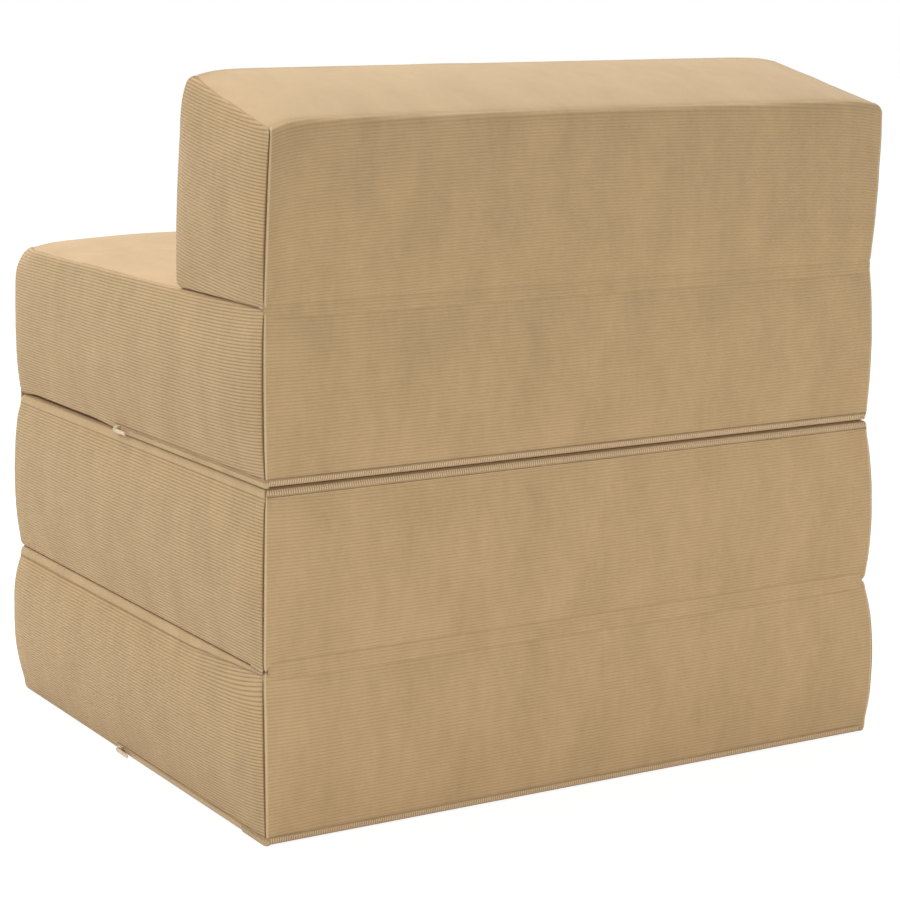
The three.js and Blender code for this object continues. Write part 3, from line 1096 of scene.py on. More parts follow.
class PaddedBlock:
    """A block's corduroy cover: the wrap round it and a panel at each end."""

    def __init__(self, shape: BlockShape, cloth: Material, end_cloth: Material) -> None:
        """Sets up a cover.

        Args:
            shape: The block's form.
            cloth: The corduroy of the wrap.
            end_cloth: The corduroy of the end panels, the copy with painted shade between its wales.
        """
        self.shape = shape
        self.cloth = cloth
        self.end_cloth = end_cloth
        self.lengths = shape.lengths()
        self.half_height = (self.lengths[1] + self.lengths[3]) / 4

    def grid(self) -> tuple[Array, Array, Array]:
        """The places of the lattice's lines.

        Returns:
            The places across the depth, up the height and along the width.
        """
        turns = [math.radians(angle) for angle in ROUNDING_ANGLES]
        lower, upper = (
            [edge.height * (1 - math.cos(turn)) for turn in turns]
            for edge in (self.shape.lower, self.shape.upper)
        )
        if self.shape.seam_line:
            beside = [self.shape.seam_line + step * CROSS_LINE_STEP for step in (-1, 0, 1)]
            apart = [h for h in upper if min(abs(h - b) for b in beside) > CROSS_LINE_NEAR]
            upper = sorted(apart + beside)
        return (
            graded(self.lengths[0], CELLS[0], SEAM_LINES, SEAM_LINES),
            graded(2 * self.half_height, CELLS[1], lower, upper),
            graded(BLOCK_WIDTH, CELLS[2], SEAM_LINES, SEAM_LINES),
        )

    def lattice(self) -> None:
        """Numbers the lattice's outer points and lists the faces of each side."""
        us, vs, ws = self.grid()
        nu, nv, nw = len(us) - 1, len(vs) - 1, len(ws) - 1
        i, j, k = np.meshgrid(np.arange(nu + 1), np.arange(nv + 1), np.arange(nw + 1), indexing="ij")
        shell = (i == 0) | (i == nu) | (j == 0) | (j == nv) | (k == 0) | (k == nw)
        ids = -np.ones(shell.shape, int)
        ids[shell] = np.arange(shell.sum())
        self.index = np.argwhere(shell)
        self.at = Places(us[self.index[:, 0]], vs[self.index[:, 1]], ws[self.index[:, 2]])
        self.counts = (nu, nv, nw)
        self.faces = {
            Face.REAR: quads(nv, nw, False, lambda a, b: ids[nu, a, b]),
            Face.FRONT: quads(nv, nw, True, lambda a, b: ids[0, a, b]),
            Face.TOP: quads(nw, nu, False, lambda a, b: ids[b, nv, a]),
            Face.UNDERSIDE: quads(nw, nu, True, lambda a, b: ids[b, 0, a]),
            Face.RIGHT_END: quads(nu, nv, False, lambda a, b: ids[a, b, nw]),
            Face.LEFT_END: quads(nu, nv, True, lambda a, b: ids[a, b, 0]),
        }

    def seam_weights(self) -> Array:
        """How firmly each point is held while the cloth swells.

        Returns:
            1 on seams and edges, 0 elsewhere.
        """
        at = self.at
        height = (1 - np.abs(at.v)) * self.half_height
        rounding = np.where(at.v < 0, self.shape.lower.height, self.shape.upper.height)
        beside_front = (1 - np.abs(at.u)) * self.lengths[0] / 2
        edge = (at.on_sides() | at.on_ends()) & (height <= rounding * ROUNDING_SHARE)
        corner = at.on_sides() & (at.beside_end() < SEAM_HOLD)
        corner |= at.on_ends() & (beside_front < SEAM_HOLD)
        flat = np.abs(at.v) > ON_FACE_SHARE
        if self.shape.top_crown > 0:
            flat &= at.v < 0
        return (edge | corner | flat).astype(float)

    def swell(self, points: Array) -> Array:
        """Lets the cloth swell under pressure between its seams.

        Args:
            points: The places to start from.

        Returns:
            The places afterwards, each at most the cap away from its start.
        """
        thing = new_mesh(self.shape.name + "_swelling", points, np.vstack(list(self.faces.values())))
        held = thing.vertex_groups.new(name="held")
        held.add([int(i) for i in np.flatnonzero(self.seam_weights() > 0)], 1.0, "REPLACE")
        cloth = thing.modifiers.new("Cloth", "CLOTH")
        for name, value in CLOTH_SETTINGS.items():
            setattr(cloth.settings, name, value)
        cloth.settings.effector_weights.gravity = 0
        cloth.collision_settings.use_self_collision = False
        cloth.point_cache.frame_start = 1
        cloth.point_cache.frame_end = SWELL_FRAMES
        scene = bpy.context.scene
        for number in range(1, SWELL_FRAMES + 1):
            scene.frame_set(number)
        settled = thing.evaluated_get(bpy.context.evaluated_depsgraph_get()).to_mesh()
        after = np.empty(len(points) * 3)
        settled.vertices.foreach_get("co", after)
        scene.frame_set(1)
        mesh = thing.data
        bpy.data.objects.remove(thing)
        bpy.data.meshes.remove(mesh)
        move = after.reshape(-1, 3) - points
        size = np.linalg.norm(move, axis=1, keepdims=True)
        cap = np.where(self.at.on_sides(), SIDE_CAP, FACE_CAP)[:, None]
        move *= np.tanh(size / cap) * cap / np.maximum(size, TINY)
        furthest = np.linalg.norm(move, axis=1).max() / MM
        LOG.info("%s cloth moved %.1f mm at most", self.shape.name, furthest)
        return points + move

    def creases(self, points: Array, normals: Array) -> Array:
        """Small waves and puckers of the cloth.

        Args:
            points: The cloth's places.
            normals: Its outward directions.

        Returns:
            The places with the waves added.
        """
        puckers = PUCKER_HEIGHT + END_PUCKER_HEIGHT * np.exp(-self.at.beside_end() / PUCKER_REACH)
        seed = Vector((sum(map(ord, self.shape.name)) % SEED_CYCLE, *SEED_PLACE))
        lift = np.empty(len(points))
        for n, p in enumerate(points):
            place = Vector(p)
            broad = noise.noise(place * WAVE_PITCH + seed)
            finer = Vector([part * pitch for part, pitch in zip(place, PUCKER_PITCHES)])
            lift[n] = WAVE_HEIGHT * broad + puckers[n] * noise.noise(finer + seed * 2)
        return points + normals * (lift * (1 - self.seam_weights()))[:, None]

    def seam_lines(self, points: Array, normals: Array) -> Array:
        """Presses in the seams between the wrap and the end panels, and marks where the painted shade
        and the painted highlight go.

        Args:
            points: The cloth's places.
            normals: Its outward directions.

        Returns:
            The places with the seams pressed in.
        """
        nu, nv, nw = self.counts
        i, j, k = self.index.T
        on_end = (k == 0) | (k == nw)
        upright = (i == 0) | (i == nu)
        level = (j == 0) | (j == nv)
        level_rim = np.where(on_end & (upright | level), LEVEL_RIM_SHARE, 0.0)
        rim = np.where(on_end & upright & ~level, 1.0, level_rim)
        beside = on_end & ((i == 1) | (i == nu - 1)) & ~level
        first_fold = np.where((k == 1) | (k == nw - 1), FIRST_FOLD_SHARE, 0.0)
        fold = np.where((k == 2) | (k == nw - 2), 1.0, first_fold)
        # The raised folds beside the seams also weight their painted highlight; self.rim weights the
        # painted shade down the seams.
        self.folded = np.where(on_end | ~upright, 0.0, fold)
        self.rim = np.maximum(np.maximum(rim, BESIDE_RIM_SHARE * beside), self.cross_line())
        out = WELT_HEIGHT * self.folded - GROOVE_DEPTH * rim
        return points + normals * out[:, None]

    def normals(self, points: Array) -> Array:
        """The outward directions of the cloth.

        Args:
            points: The cloth's places.

        Returns:
            The direction at each place.
        """
        faces = np.vstack(list(self.faces.values()))
        first = points[faces[:, 2]] - points[faces[:, 0]]
        second = points[faces[:, 3]] - points[faces[:, 1]]
        cross = np.cross(first, second)
        total = np.zeros_like(points)
        for corner in range(4):
            np.add.at(total, faces[:, corner], cross)
        return total / np.maximum(np.linalg.norm(total, axis=1, keepdims=True), TINY)

    def round_section(self, face: Face) -> Array:
        """The distance round the section of each point on a side of the wrap.

        Args:
            face: The side.

        Returns:
            The distances from the lower front edge, by the underside and the rear.
        """
        side, share = {
            Face.UNDERSIDE: (0, (self.at.u + 1) / 2),
            Face.REAR: (1, (self.at.v + 1) / 2),
            Face.TOP: (2, (1 - self.at.u) / 2),
            Face.FRONT: (3, (1 - self.at.v) / 2),
        }[face]
        return self.lengths[:side].sum() + share * self.lengths[side]

    def texture(self, face: Face, points: Array) -> Array:
        """Texture places for each corner of a side's faces: along the wales, then across them.

        Args:
            face: The side.
            points: The cloth's places.

        Returns:
            An array of texture places.
        """
        at, shape = self.at, self.shape
        if face in (Face.RIGHT_END, Face.LEFT_END):
            y, z = shape.section(at.u, at.v).T
            along = y * math.cos(shape.wale_tilt) - z * math.sin(shape.wale_tilt)
            across = y * math.sin(shape.wale_tilt) + z * math.cos(shape.wale_tilt)
            across = across - shape.wale_bend * np.exp(-(HALF_DEPTH - y) / WALE_BEND_REACH)
        else:
            along, across = points[:, 0], self.round_section(face)
            if face is Face.REAR:
                rise = shape.wale_rise or WALE_FAN * at.v
                across = across - rise * np.exp(-at.beside_end() / WALE_FAN_REACH)
                across = across - shape.wale_arch * (1 - at.w ** 2)
                across = across / shape.rear_pitch_share
        return np.column_stack([along, across])[self.faces[face].ravel()]

    def panel(self, name: str, sides: Sequence[Face], points: Array) -> Thing:
        """Makes one cloth piece of the cover.

        Args:
            name: The piece's name.
            sides: The sides that it covers.
            points: The cloth's places.

        Returns:
            The piece.
        """
        faces = np.vstack([self.faces[side] for side in sides])
        uv = np.vstack([self.texture(side, points) for side in sides])
        used, renumbered = np.unique(faces.ravel(), return_inverse=True)
        piece = new_mesh(name, points[used], renumbered.reshape(-1, 4), uv)
        # Masks for the shader: pressed pile, which also weights the painted sheen on the top; the
        # painted shade down the seams; the painted highlight on the raised folds.
        looks = {"crushed": self.crushed_pile_and_top_sheen(), "seam": self.rim, "welt": self.folded}
        for attribute, values in looks.items():
            layer = piece.data.attributes.new(attribute, "FLOAT", "POINT")
            layer.data.foreach_set("value", values[used].astype(np.float32))
        smooth = piece.modifiers.new("Smooth", "SUBSURF")
        smooth.levels = smooth.render_levels = 1
        on_end = Face.RIGHT_END in sides or Face.LEFT_END in sides
        dress(piece, self.end_cloth if on_end else self.cloth)
        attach(piece, self.shape.name)
        return piece

    def crushed_pile_and_top_sheen(self) -> Array:
        """How far the wales are pressed flat, on top and on a turned-in band; the same share weights the
        painted sheen on the top.

        Returns:
            The share at each point.
        """
        beside_ridge = (1 - np.abs(self.at.u)) * self.lengths[2] / 2
        flat = TOP_CRUSHED_SHARE * ramped(beside_ridge, *RIDGE_FADE) * self.at.on_top()
        if self.shape.seam_line:
            height = (1 - self.at.v) * self.lengths[1] / 2
            band = ramped(self.shape.seam_line - height, 0, BAND_FADE)
            flat = np.maximum(flat, BAND_CRUSHED_SHARE * band * self.at.on_right_end())
        return flat

    def build(self) -> None:
        """Builds the cover's wrap and both end panels."""
        self.lattice()
        points = self.shape.surface(self.at)
        points = self.swell(points)
        points = self.creases(points, self.normals(points))
        if self.shape.seam_line:
            points = self.cross_seam(points)
        points = self.seam_lines(points, self.normals(points))
        name = self.shape.name
        wrap = self.panel(f"{name}_cover", [Face.UNDERSIDE, Face.REAR, Face.TOP, Face.FRONT], points)
        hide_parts(f"{name}_cover_wrap", f"{name}_foam_core")
        right = self.panel(f"{name}_right_end", [Face.RIGHT_END], points)
        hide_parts(f"{name}_end_panel_right")
        left = self.panel(f"{name}_left_end", [Face.LEFT_END], points)
        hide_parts(f"{name}_end_panel_left")
        LOG.info("%s cover: %d points", name, len(points))

    def from_cross_seam(self) -> Array:
        """How far below the seam across the right-hand end each point lies."""
        return (1 - self.at.v) * self.half_height - self.shape.seam_line

    def cross_line(self) -> Array:
        """How much painted shade each point takes for the seam across the right-hand end.

        Returns:
            The share of a corner seam's painted shade.
        """
        if not self.shape.seam_line:
            return np.zeros(len(self.at.v))
        on_line = np.abs(self.from_cross_seam()) < CROSS_LINE_NEAR
        return self.shape.line_share * on_line * self.at.on_right_end()

    def cross_seam(self, points: Array) -> Array:
        """Presses a seam across the right-hand end, a set height below its upper edge.

        Args:
            points: The cloth's places.

        Returns:
            The places with the seam pressed in.
        """
        line = np.exp(-(self.from_cross_seam() / CROSS_SEAM_WIDTH) ** 2)
        pressed = points.copy()
        pressed[:, 0] -= self.at.on_right_end() * line * CROSS_SEAM_DEPTH
        return pressed


# Zips

# The angles round a block's corner at which a strip has a section.
CORNER_ANGLES = range(0, 91, 15)


@dataclass(frozen=True)
class Run:
    """The way of a strip along a block's rear or front edge and, with a reach, onto one end.

    Args:
        corner: The edge's place in Y and Z.
        out: The way out from the edge, in Y and Z.
        up: The way up the side, in Y and Z.
        start: Where it starts along X.
        stop: Where it stops along X if it has no reach.
        reach: How far it runs along the end, or 0.
        side: 1 if it goes round the right-hand end, -1 if the left.
        bend: The radius of its corner.
        half_width: How far out the end lies.
    """

    corner: tuple[float, float]
    out: tuple[float, float]
    up: tuple[float, float]
    start: float
    stop: float
    reach: float = 0.0
    side: int = 1
    bend: float = 3 * MM
    half_width: float = HALF_WIDTH

    def straight(self) -> float:
        """The distance along the run where its corner starts."""
        return self.half_width - self.bend - self.start

    def turned(self) -> float:
        """The distance along the run where its corner ends."""
        return self.straight() + math.pi / 2 * self.bend

    def length(self) -> float:
        """The run's whole length."""
        return self.turned() + self.reach - self.bend if self.reach else self.stop - self.start

    def at(self, distance: float, out: float, up: float) -> tuple[Vector, Vector]:
        """A place on the run, with the way on.

        Args:
            distance: How far along the run.
            out: How far out from the edge.
            up: How far up from the edge.

        Returns:
            The place and the way on from it.
        """
        way = Vector((0, *self.out))
        base = Vector((0, *self.corner))
        if not self.reach or distance <= self.straight():
            along = Vector((1, 0, 0))
            place = base + way * out + Vector((self.start + distance, 0, 0))
        else:
            turned = min((distance - self.straight()) / self.bend, math.pi / 2)
            centre = base - way * self.bend + Vector((self.half_width - self.bend, 0, 0))
            around = way * math.cos(turned) + Vector((1, 0, 0)) * math.sin(turned)
            along = Vector((1, 0, 0)) * math.cos(turned) - way * math.sin(turned)
            place = centre + around * (self.bend + out) + along * max(distance - self.turned(), 0)
        place += Vector((0, *self.up)) * up
        return self.flip(place), self.flip(along)

    def flip(self, vector: Vector) -> Vector:
        """Mirrors a vector for a run that goes round the left-hand end."""
        return Vector((vector.x * self.side, vector.y, vector.z))


def strip_mesh(
    name: str,
    run: Run,
    outline: Sequence[tuple[float, float]],
    step: float,
    first: float = 0.0,
    last: float | None = None,
) -> Thing:
    """Makes a closed strip of one section along a run.

    Args:
        name: The piece's name.
        run: The run.
        outline: The section's points, out and up from the edge.
        step: The distance between sections.
        first: Where on the run it starts.
        last: Where on the run it ends, or None for the run's end.

    Returns:
        The strip.
    """
    last = run.length() if last is None else last
    count = max(2, round((last - first) / step))
    stations = list(np.linspace(first, last, count + 1))
    if run.reach:
        around = [run.straight() + run.bend * math.radians(angle) for angle in CORNER_ANGLES]
        apart = {s for s in stations if not around[0] < s < around[-1]}
        stations = sorted(apart | {s for s in around if first < s < last})
    points = [run.at(s, out, up)[0] for s in stations for out, up in outline]
    size = len(outline)
    faces = tube_faces(range(size), size, len(stations) - 1)
    faces.append(tuple(range(size))[::-1])
    faces.append(tuple(range(len(points) - size, len(points))))
    thing = new_mesh(name, np.array(points), faces)
    face_outwards(thing)
    return thing


# Where a zip's parts lie on the rounding of its edge, as shares of it.
TAPE_SHARES = (0.3, 0.78)
COIL_SHARES = (0.4, 0.7)
FLAP_SHARES = (0.28, 0.68)
SLIDER_SHARE = 0.55
LIP_SHARE = 0.8
BAND_LINES = 6

# A tooth's section: shares of the way across the coil with heights above the tape, and half its length.
TOOTH_SECTION = ((0, -0.1 * MM), (0, 0.3 * MM), (0.5, 0.7 * MM), (1, 0.3 * MM), (1, -0.1 * MM))
TOOTH_HALF = 0.65 * MM

# The slider, in millimetres: the start, end, half width, bottom and top of each of its plates.
SLIDER_PLATES = ((-5.5, 5.5, 3.7, 0.0, 1.1), (-5.5, 5.5, 3.7, 2.0, 3.0), (-0.8, 2.4, 0.9, 1.0, 2.2))
WAIST_SHARE = 0.6
SLIDER_AHEAD = 6 * MM
SLIDER_LIFT = 0.1 * MM

# The slider's bridge, in millimetres.
BRIDGE_HALF_SPAN = 3.6
BRIDGE_FOOT = 2.9
BRIDGE_RISE = 2.6
BRIDGE_SECTION = ((-0.5, -0.9), (0.5, -0.9), (0.5, 0.9), (-0.5, 0.9))
BRIDGE_STEPS = 10

# The pull, in millimetres: the middle, half length, half width and squareness of the tab and its eye.
PULL_PLACE = (-2, 0, 4.0)
TAB_OUTLINE = (12.5, 14.5, 2.3, 0.45)
EYE_OUTLINE = (1.6, 1.9, 1.2, 1)
TAB_THICKNESS = 1.2
TAB_POINTS = 32

# The rounding of the slider's and the pull's edges.
SLIDER_BEVEL = 0.35 * MM
PULL_BEVEL = 0.25 * MM
BEVEL_SEGMENTS = 2

# The flap and the folded lip of the cover's cloth beside a zip.
FLAP_LIFT = 0.75 * MM
FLAP_THICKNESS = 0.4 * MM
FLAP_LAP = 6 * MM
FLAP_END = 2 * MM
LIP_OUTLINE = ((-0.4, 0.0), (0.4, 0.0), (0.7, 0.4), (0.7, 0.9), (0.4, 1.3), (-0.4, 1.3))
LIP_END = 20 * MM
STRIP_STEP = 12 * MM
TAPE_STEP = 20 * MM


def join_rings(work: bmesh.types.BMesh, first: Sequence, second: Sequence) -> None:
    """Adds the faces between two rings of a worked mesh.

    Args:
        work: The mesh.
        first: The first ring's vertices.
        second: The second ring's vertices.
    """
    for i in range(len(first)):
        j = (i + 1) % len(first)
        work.faces.new((first[i], first[j], second[j], second[i]))


def oval(middle: float, length: float, width: float, power: float) -> list[tuple[float, float]]:
    """The outline of a rounded plate.

    Args:
        middle: Its middle along its length.
        length: Half its length.
        width: Half its width.
        power: 1 for an ellipse, less for squarer ends.

    Returns:
        Its places, along and across.
    """
    outline = []
    for i in range(TAB_POINTS):
        x, y = math.cos(2 * math.pi * i / TAB_POINTS), math.sin(2 * math.pi * i / TAB_POINTS)
        along = length * math.copysign(abs(x) ** power, x)
        outline.append((middle + along, width * math.copysign(abs(y) ** power, y)))
    return outline


def flat_ring(work: bmesh.types.BMesh, outline: Sequence[tuple[float, float]], height: float) -> list:
    """Adds a ring of vertices at one height, in millimetres, and gives them."""
    return [work.verts.new(Vector((x, y, height)) * MM) for x, y in outline]


@dataclass
class Zip:
    """A zip along one edge of a block: tape, coil, slider and pull.

    Args:
        block: The block's name.
        edge: The edge's rounding.
        run: The tape's run.
        coil_stop: How far short of the tape the coil stops.
        flap: The length of the cloth flap over the coil on the block's end, or 0.
        lip: Whether a folded cloth lip runs along the tape.
        tooth_pitch: The distance from tooth to tooth.
        tape_thickness: The tape's thickness.
        materials: The finishes of the tape, the coil, the slider and the facing cloth.
    """

    block: str
    edge: Edge
    run: Run
    coil_stop: float = 16 * MM
    flap: float = 0.0
    lip: bool = False
    tooth_pitch: float = 2.4 * MM
    tape_thickness: float = 0.5 * MM
    materials: dict[str, Material] = field(default_factory=dict)

    def band(self, shares: tuple[float, float], under: float, over: float) -> list[tuple[float, float]]:
        """The section of a band that lies on the edge's rounding.

        Args:
            shares: The shares of the rounding where it starts and ends.
            under: The height of its lower face above the cloth.
            over: The height of its upper face.

        Returns:
            The section's points, out and up.
        """
        turns = math.pi / 2 * np.linspace(*shares, BAND_LINES)
        inner, outer = ([self.edge.raised(turn, lift) for turn in turns] for lift in (under, over))
        return inner + outer[::-1]

    def build(self) -> None:
        """Builds the zip's pieces."""
        self.tape()
        self.coil()
        self.slider()
        if self.flap:
            self.cover_flap()
        if self.lip:
            self.folded_lip()
        LOG.info("%s zip: %.0f mm", self.block, self.run.length() / MM)

    def tape(self) -> None:
        """The woven tape."""
        outline = self.band(TAPE_SHARES, CLEARANCE, CLEARANCE + self.tape_thickness)
        tape = strip_mesh(f"{self.block}_tape", self.run, outline, TAPE_STEP)
        dress(tape, self.materials["tape"])
        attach(tape, self.block)
        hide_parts(f"{self.block}_zip_tape")

    def coil(self) -> None:
        """The coil, a row of small rounded teeth across the tape."""
        under = CLEARANCE + self.tape_thickness
        low, high = COIL_SHARES
        section = [
            self.edge.raised(math.pi / 2 * (low + (high - low) * share), under + lift)
            for share, lift in TOOTH_SECTION
        ]
        size = len(section)
        points, faces = [], []
        for tooth in range(int((self.run.length() - self.coil_stop) / self.tooth_pitch)):
            middle = (tooth + 0.5) * self.tooth_pitch
            base = len(points)
            for end in (middle - TOOTH_HALF, middle + TOOTH_HALF):
                points.extend(self.run.at(end, out, up)[0] for out, up in section)
            ring = range(base, base + size)
            faces.extend(tube_faces(ring, size, 1))
            faces.append(tuple(ring)[::-1])
            faces.append(tuple(i + size for i in ring))
        coil = new_mesh(f"{self.block}_coil", np.array(points), faces)
        face_outwards(coil)
        coil.data.polygons.foreach_set("use_smooth", np.zeros(len(coil.data.polygons), bool))
        dress(coil, self.materials["coil"])
        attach(coil, self.block)
        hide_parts(f"{self.block}_zip_coil")

    def slider_frame(self) -> Matrix:
        """Where the slider sits.

        Returns:
            Its place, with X back along the zip and Z away from the cloth.
        """
        turn = math.pi / 2 * SLIDER_SHARE
        lift = CLEARANCE + self.tape_thickness + SLIDER_LIFT
        distance = self.run.length() - self.coil_stop + SLIDER_AHEAD
        place, along = self.run.at(distance, *self.edge.raised(turn, lift))
        above, _ = self.run.at(distance, *self.edge.raised(turn, lift + 1 * MM))
        normal = (above - place).normalized()
        across = normal.cross(-along).normalized()
        matrix = Matrix((-along, across, normal)).transposed().to_4x4()
        matrix.translation = place
        return matrix

    def slider(self) -> None:
        """The slider body with its bridge, and the pull through it."""
        matrix = self.slider_frame()
        body = bmesh.new()
        for plate in SLIDER_PLATES:
            self.plate(body, *plate)
        self.bridge(body)
        slider = self.finish(f"{self.block}_slider", body, matrix, SLIDER_BEVEL)
        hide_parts(f"{self.block}_zip_slider")
        tab = bmesh.new()
        self.tab(tab)
        hung = matrix @ Matrix.Translation(Vector(PULL_PLACE) * MM)
        pull = self.finish(f"{self.block}_pull", tab, hung, PULL_BEVEL)
        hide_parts(f"{self.block}_zip_pull")

    @staticmethod
    def plate(
        work: bmesh.types.BMesh, low: float, high: float, half: float, bottom: float, top: float
    ) -> None:
        """Adds a waisted plate of the slider.

        Args:
            work: The mesh.
            low: Its start along the zip, in millimetres, as all that follow.
            high: Its end.
            half: Half its width.
            bottom: Its lower face.
            top: Its upper face.
        """
        waist, middle = half * WAIST_SHARE, (low + high) / 2
        near = [(low, -waist), (middle, -half), (high, -half)]
        outline = near + [(x, -y) for x, y in near[::-1]]
        lower, upper = (flat_ring(work, outline, height) for height in (bottom, top))
        work.faces.new(lower[::-1])
        work.faces.new(upper)
        join_rings(work, lower, upper)

    @staticmethod
    def bridge(work: bmesh.types.BMesh) -> None:
        """Adds the loop on the slider's back that holds the pull.

        Args:
            work: The mesh.
        """
        rings = []
        for i in range(BRIDGE_STEPS + 1):
            turn = math.pi * i / BRIDGE_STEPS
            side = Vector((-math.cos(turn), 0, math.sin(turn)))
            centre = Vector((BRIDGE_HALF_SPAN * side.x, 0, BRIDGE_FOOT + BRIDGE_RISE * side.z))
            corners = [centre + side * a + Vector((0, b, 0)) for a, b in BRIDGE_SECTION]
            rings.append([work.verts.new(corner * MM) for corner in corners])
        for first, second in zip(rings, rings[1:]):
            join_rings(work, first, second)
        work.faces.new(rings[0][::-1])
        work.faces.new(rings[-1])

    @staticmethod
    def tab(work: bmesh.types.BMesh) -> None:
        """Adds the pull tab, a rounded plate with an eye at its near end.

        Args:
            work: The mesh.
        """
        outer, inner = oval(*TAB_OUTLINE), oval(*EYE_OUTLINE)
        levels = (0.0, TAB_THICKNESS)
        rings = [flat_ring(work, outer, level) for level in levels]
        rings += [flat_ring(work, inner, level) for level in levels[::-1]]
        for first, second in zip(rings, rings[1:] + rings[:1]):
            join_rings(work, first, second)

    def finish(self, name: str, work: bmesh.types.BMesh, matrix: Matrix, bevel: float) -> Thing:
        """Turns the worked mesh into a dressed piece.

        Args:
            name: The piece's name.
            work: The mesh, about its own origin.
            matrix: Its place.
            bevel: The edge rounding, in metres.

        Returns:
            The piece.
        """
        bmesh.ops.recalc_face_normals(work, faces=work.faces)
        bmesh.ops.transform(work, matrix=matrix, verts=work.verts)
        mesh = bpy.data.meshes.new(name)
        work.to_mesh(mesh)
        work.free()
        thing = place_mesh(name, mesh)
        face_outwards(thing)
        rounding = thing.modifiers.new("Rounded", "BEVEL")
        rounding.width = bevel
        rounding.segments = BEVEL_SEGMENTS
        dress(thing, self.materials["slider"])
        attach(thing, self.block)
        return thing

    def facing_strip(self, name: str, outline: Sequence, first: float, last: float) -> None:
        """A strip of the cover's cloth beside the zip.

        Args:
            name: The piece's name.
            outline: Its section, out and up from the edge.
            first: Where on the run it starts.
            last: Where on the run it ends.
        """
        strip = strip_mesh(name, self.run, outline, STRIP_STEP, first, last)
        dress(strip, self.materials["facing"])
        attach(strip, self.block)

    def cover_flap(self) -> None:
        """The cloth flap over the coil on the block's end, from the slider to the corner."""
        first = self.run.turned() - FLAP_LAP
        last = min(self.run.length() - self.coil_stop - FLAP_END, first + self.flap)
        under = CLEARANCE + self.tape_thickness + FLAP_LIFT
        outline = self.band(FLAP_SHARES, under, under + FLAP_THICKNESS)
        self.facing_strip(f"{self.block}_zip_flap", outline, first, last)

    def folded_lip(self) -> None:
        """The folded edge of the cover's cloth beside the tape."""
        foot_out, foot_up = self.edge.raised(math.pi / 2 * LIP_SHARE, CLEARANCE)
        outline = [(foot_out + out * MM, foot_up + up * MM) for out, up in LIP_OUTLINE]
        self.facing_strip(f"{self.block}_zip_lip", outline, 0.0, self.run.length() - LIP_END)


# Hinges

# A hinge's strip: the share of the roundings that it bridges, its lines and how it lies on them.
BRIDGED_SHARE = 0.95
HINGE_LINES = 13
HINGE_CELL = 14 * MM
HINGE_END_LINES = (4 * MM, 10 * MM)
HINGE_END_SINK = 0.9 * MM
HINGE_SINK_REACH = 4 * MM
EDGE_THICKNESS_SHARE = 0.15
TEXTURE_OFFSET = 0.2
CLOTH_GAP = 0.15 * MM
CREASE_DEPTH = 0.12 * MM
CREASE_WIDTH = 1.5 * MM
FREE_SINK = 0.4 * MM


@dataclass
class ClothHinge:
    """A cloth strip that joins two blocks along an edge.

    Args:
        name: The hinge's name.
        lower: The lower block.
        upper: The upper block.
        height: The height of the joint's plane.
        side: 1 at the rear, -1 at the front.
        edge: The roundings that it bridges.
        cloth: The corduroy.
        thickness: The strip's thickness.
        margin: How far short of the block's ends it stops.
    """

    name: str
    lower: str
    upper: str
    height: float
    side: int
    edge: Edge
    cloth: Material
    thickness: float = 0.6 * MM
    margin: float = 4 * MM

    def build(self) -> None:
        """Builds the strip that lies between its two blocks."""
        reach = self.edge.height * BRIDGED_SHARE
        heights = np.linspace(-reach, reach, HINGE_LINES)
        half = HALF_WIDTH - self.margin
        stations = graded(2 * half, HINGE_CELL, HINGE_END_LINES, HINGE_END_LINES)
        points, uv_points = [], []
        for x in stations * half:
            swell = 1 - abs(x / HALF_WIDTH) ** ALONG_POWER
            sink = HINGE_END_SINK * math.exp(-(half - abs(x)) / HINGE_SINK_REACH)
            for layer in (0, 1):
                for h in heights:
                    thick = layer * self.thickness * (1 + EDGE_THICKNESS_SHARE - abs(h / reach))
                    out = self.bulge(h, swell) + thick - sink
                    points.append((x, self.side * (HALF_DEPTH + out), self.height + h))
                    uv_points.append((x, h + TEXTURE_OFFSET))
        rows = len(heights)
        ring = [*range(rows), *range(2 * rows - 1, rows - 1, -1)]
        faces = tube_faces(ring, 2 * rows, len(stations) - 1)
        last = (len(stations) - 1) * 2 * rows
        for i in [*range(rows - 1), *range(last, last + rows - 1)]:
            faces.append((i, i + 1, rows + i + 1, rows + i))
        uv = np.array([uv_points[i] for face in faces for i in face])
        strip = new_mesh(f"{self.name}_hinge_cloth", np.array(points), faces, uv)
        face_outwards(strip)
        dress(strip, self.cloth)
        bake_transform(strip)
        self.cut_width(heights)
        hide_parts(f"{self.name}_hinge_leaf_{self.lower}", f"{self.name}_hinge_leaf_{self.upper}")
        LOG.info("%s hinge cloth: %d points", self.name, len(points))

    def cut_width(self, heights: Array) -> float:
        """The width that the strip was cut to, measured across its lines at its middle."""
        outs = np.array([self.bulge(h, 1.0) for h in heights])
        return float(np.hypot(np.diff(heights), np.diff(outs)).sum())

    def bulge(self, height: float, swell: float) -> float:
        """How far out the strip lies.

        Args:
            height: The height above the joint's plane.
            swell: The share of the block's swelling at this place.

        Returns:
            The distance out from the block's seam plane.
        """
        on_cloth = CLOTH_GAP - float(self.edge.drawn_in(np.array(abs(height))))
        crease = CREASE_DEPTH * math.exp(-(height / CREASE_WIDTH) ** 2)
        return max(on_cloth, FREE_SINK * (swell - 1) - crease)


# Stitches


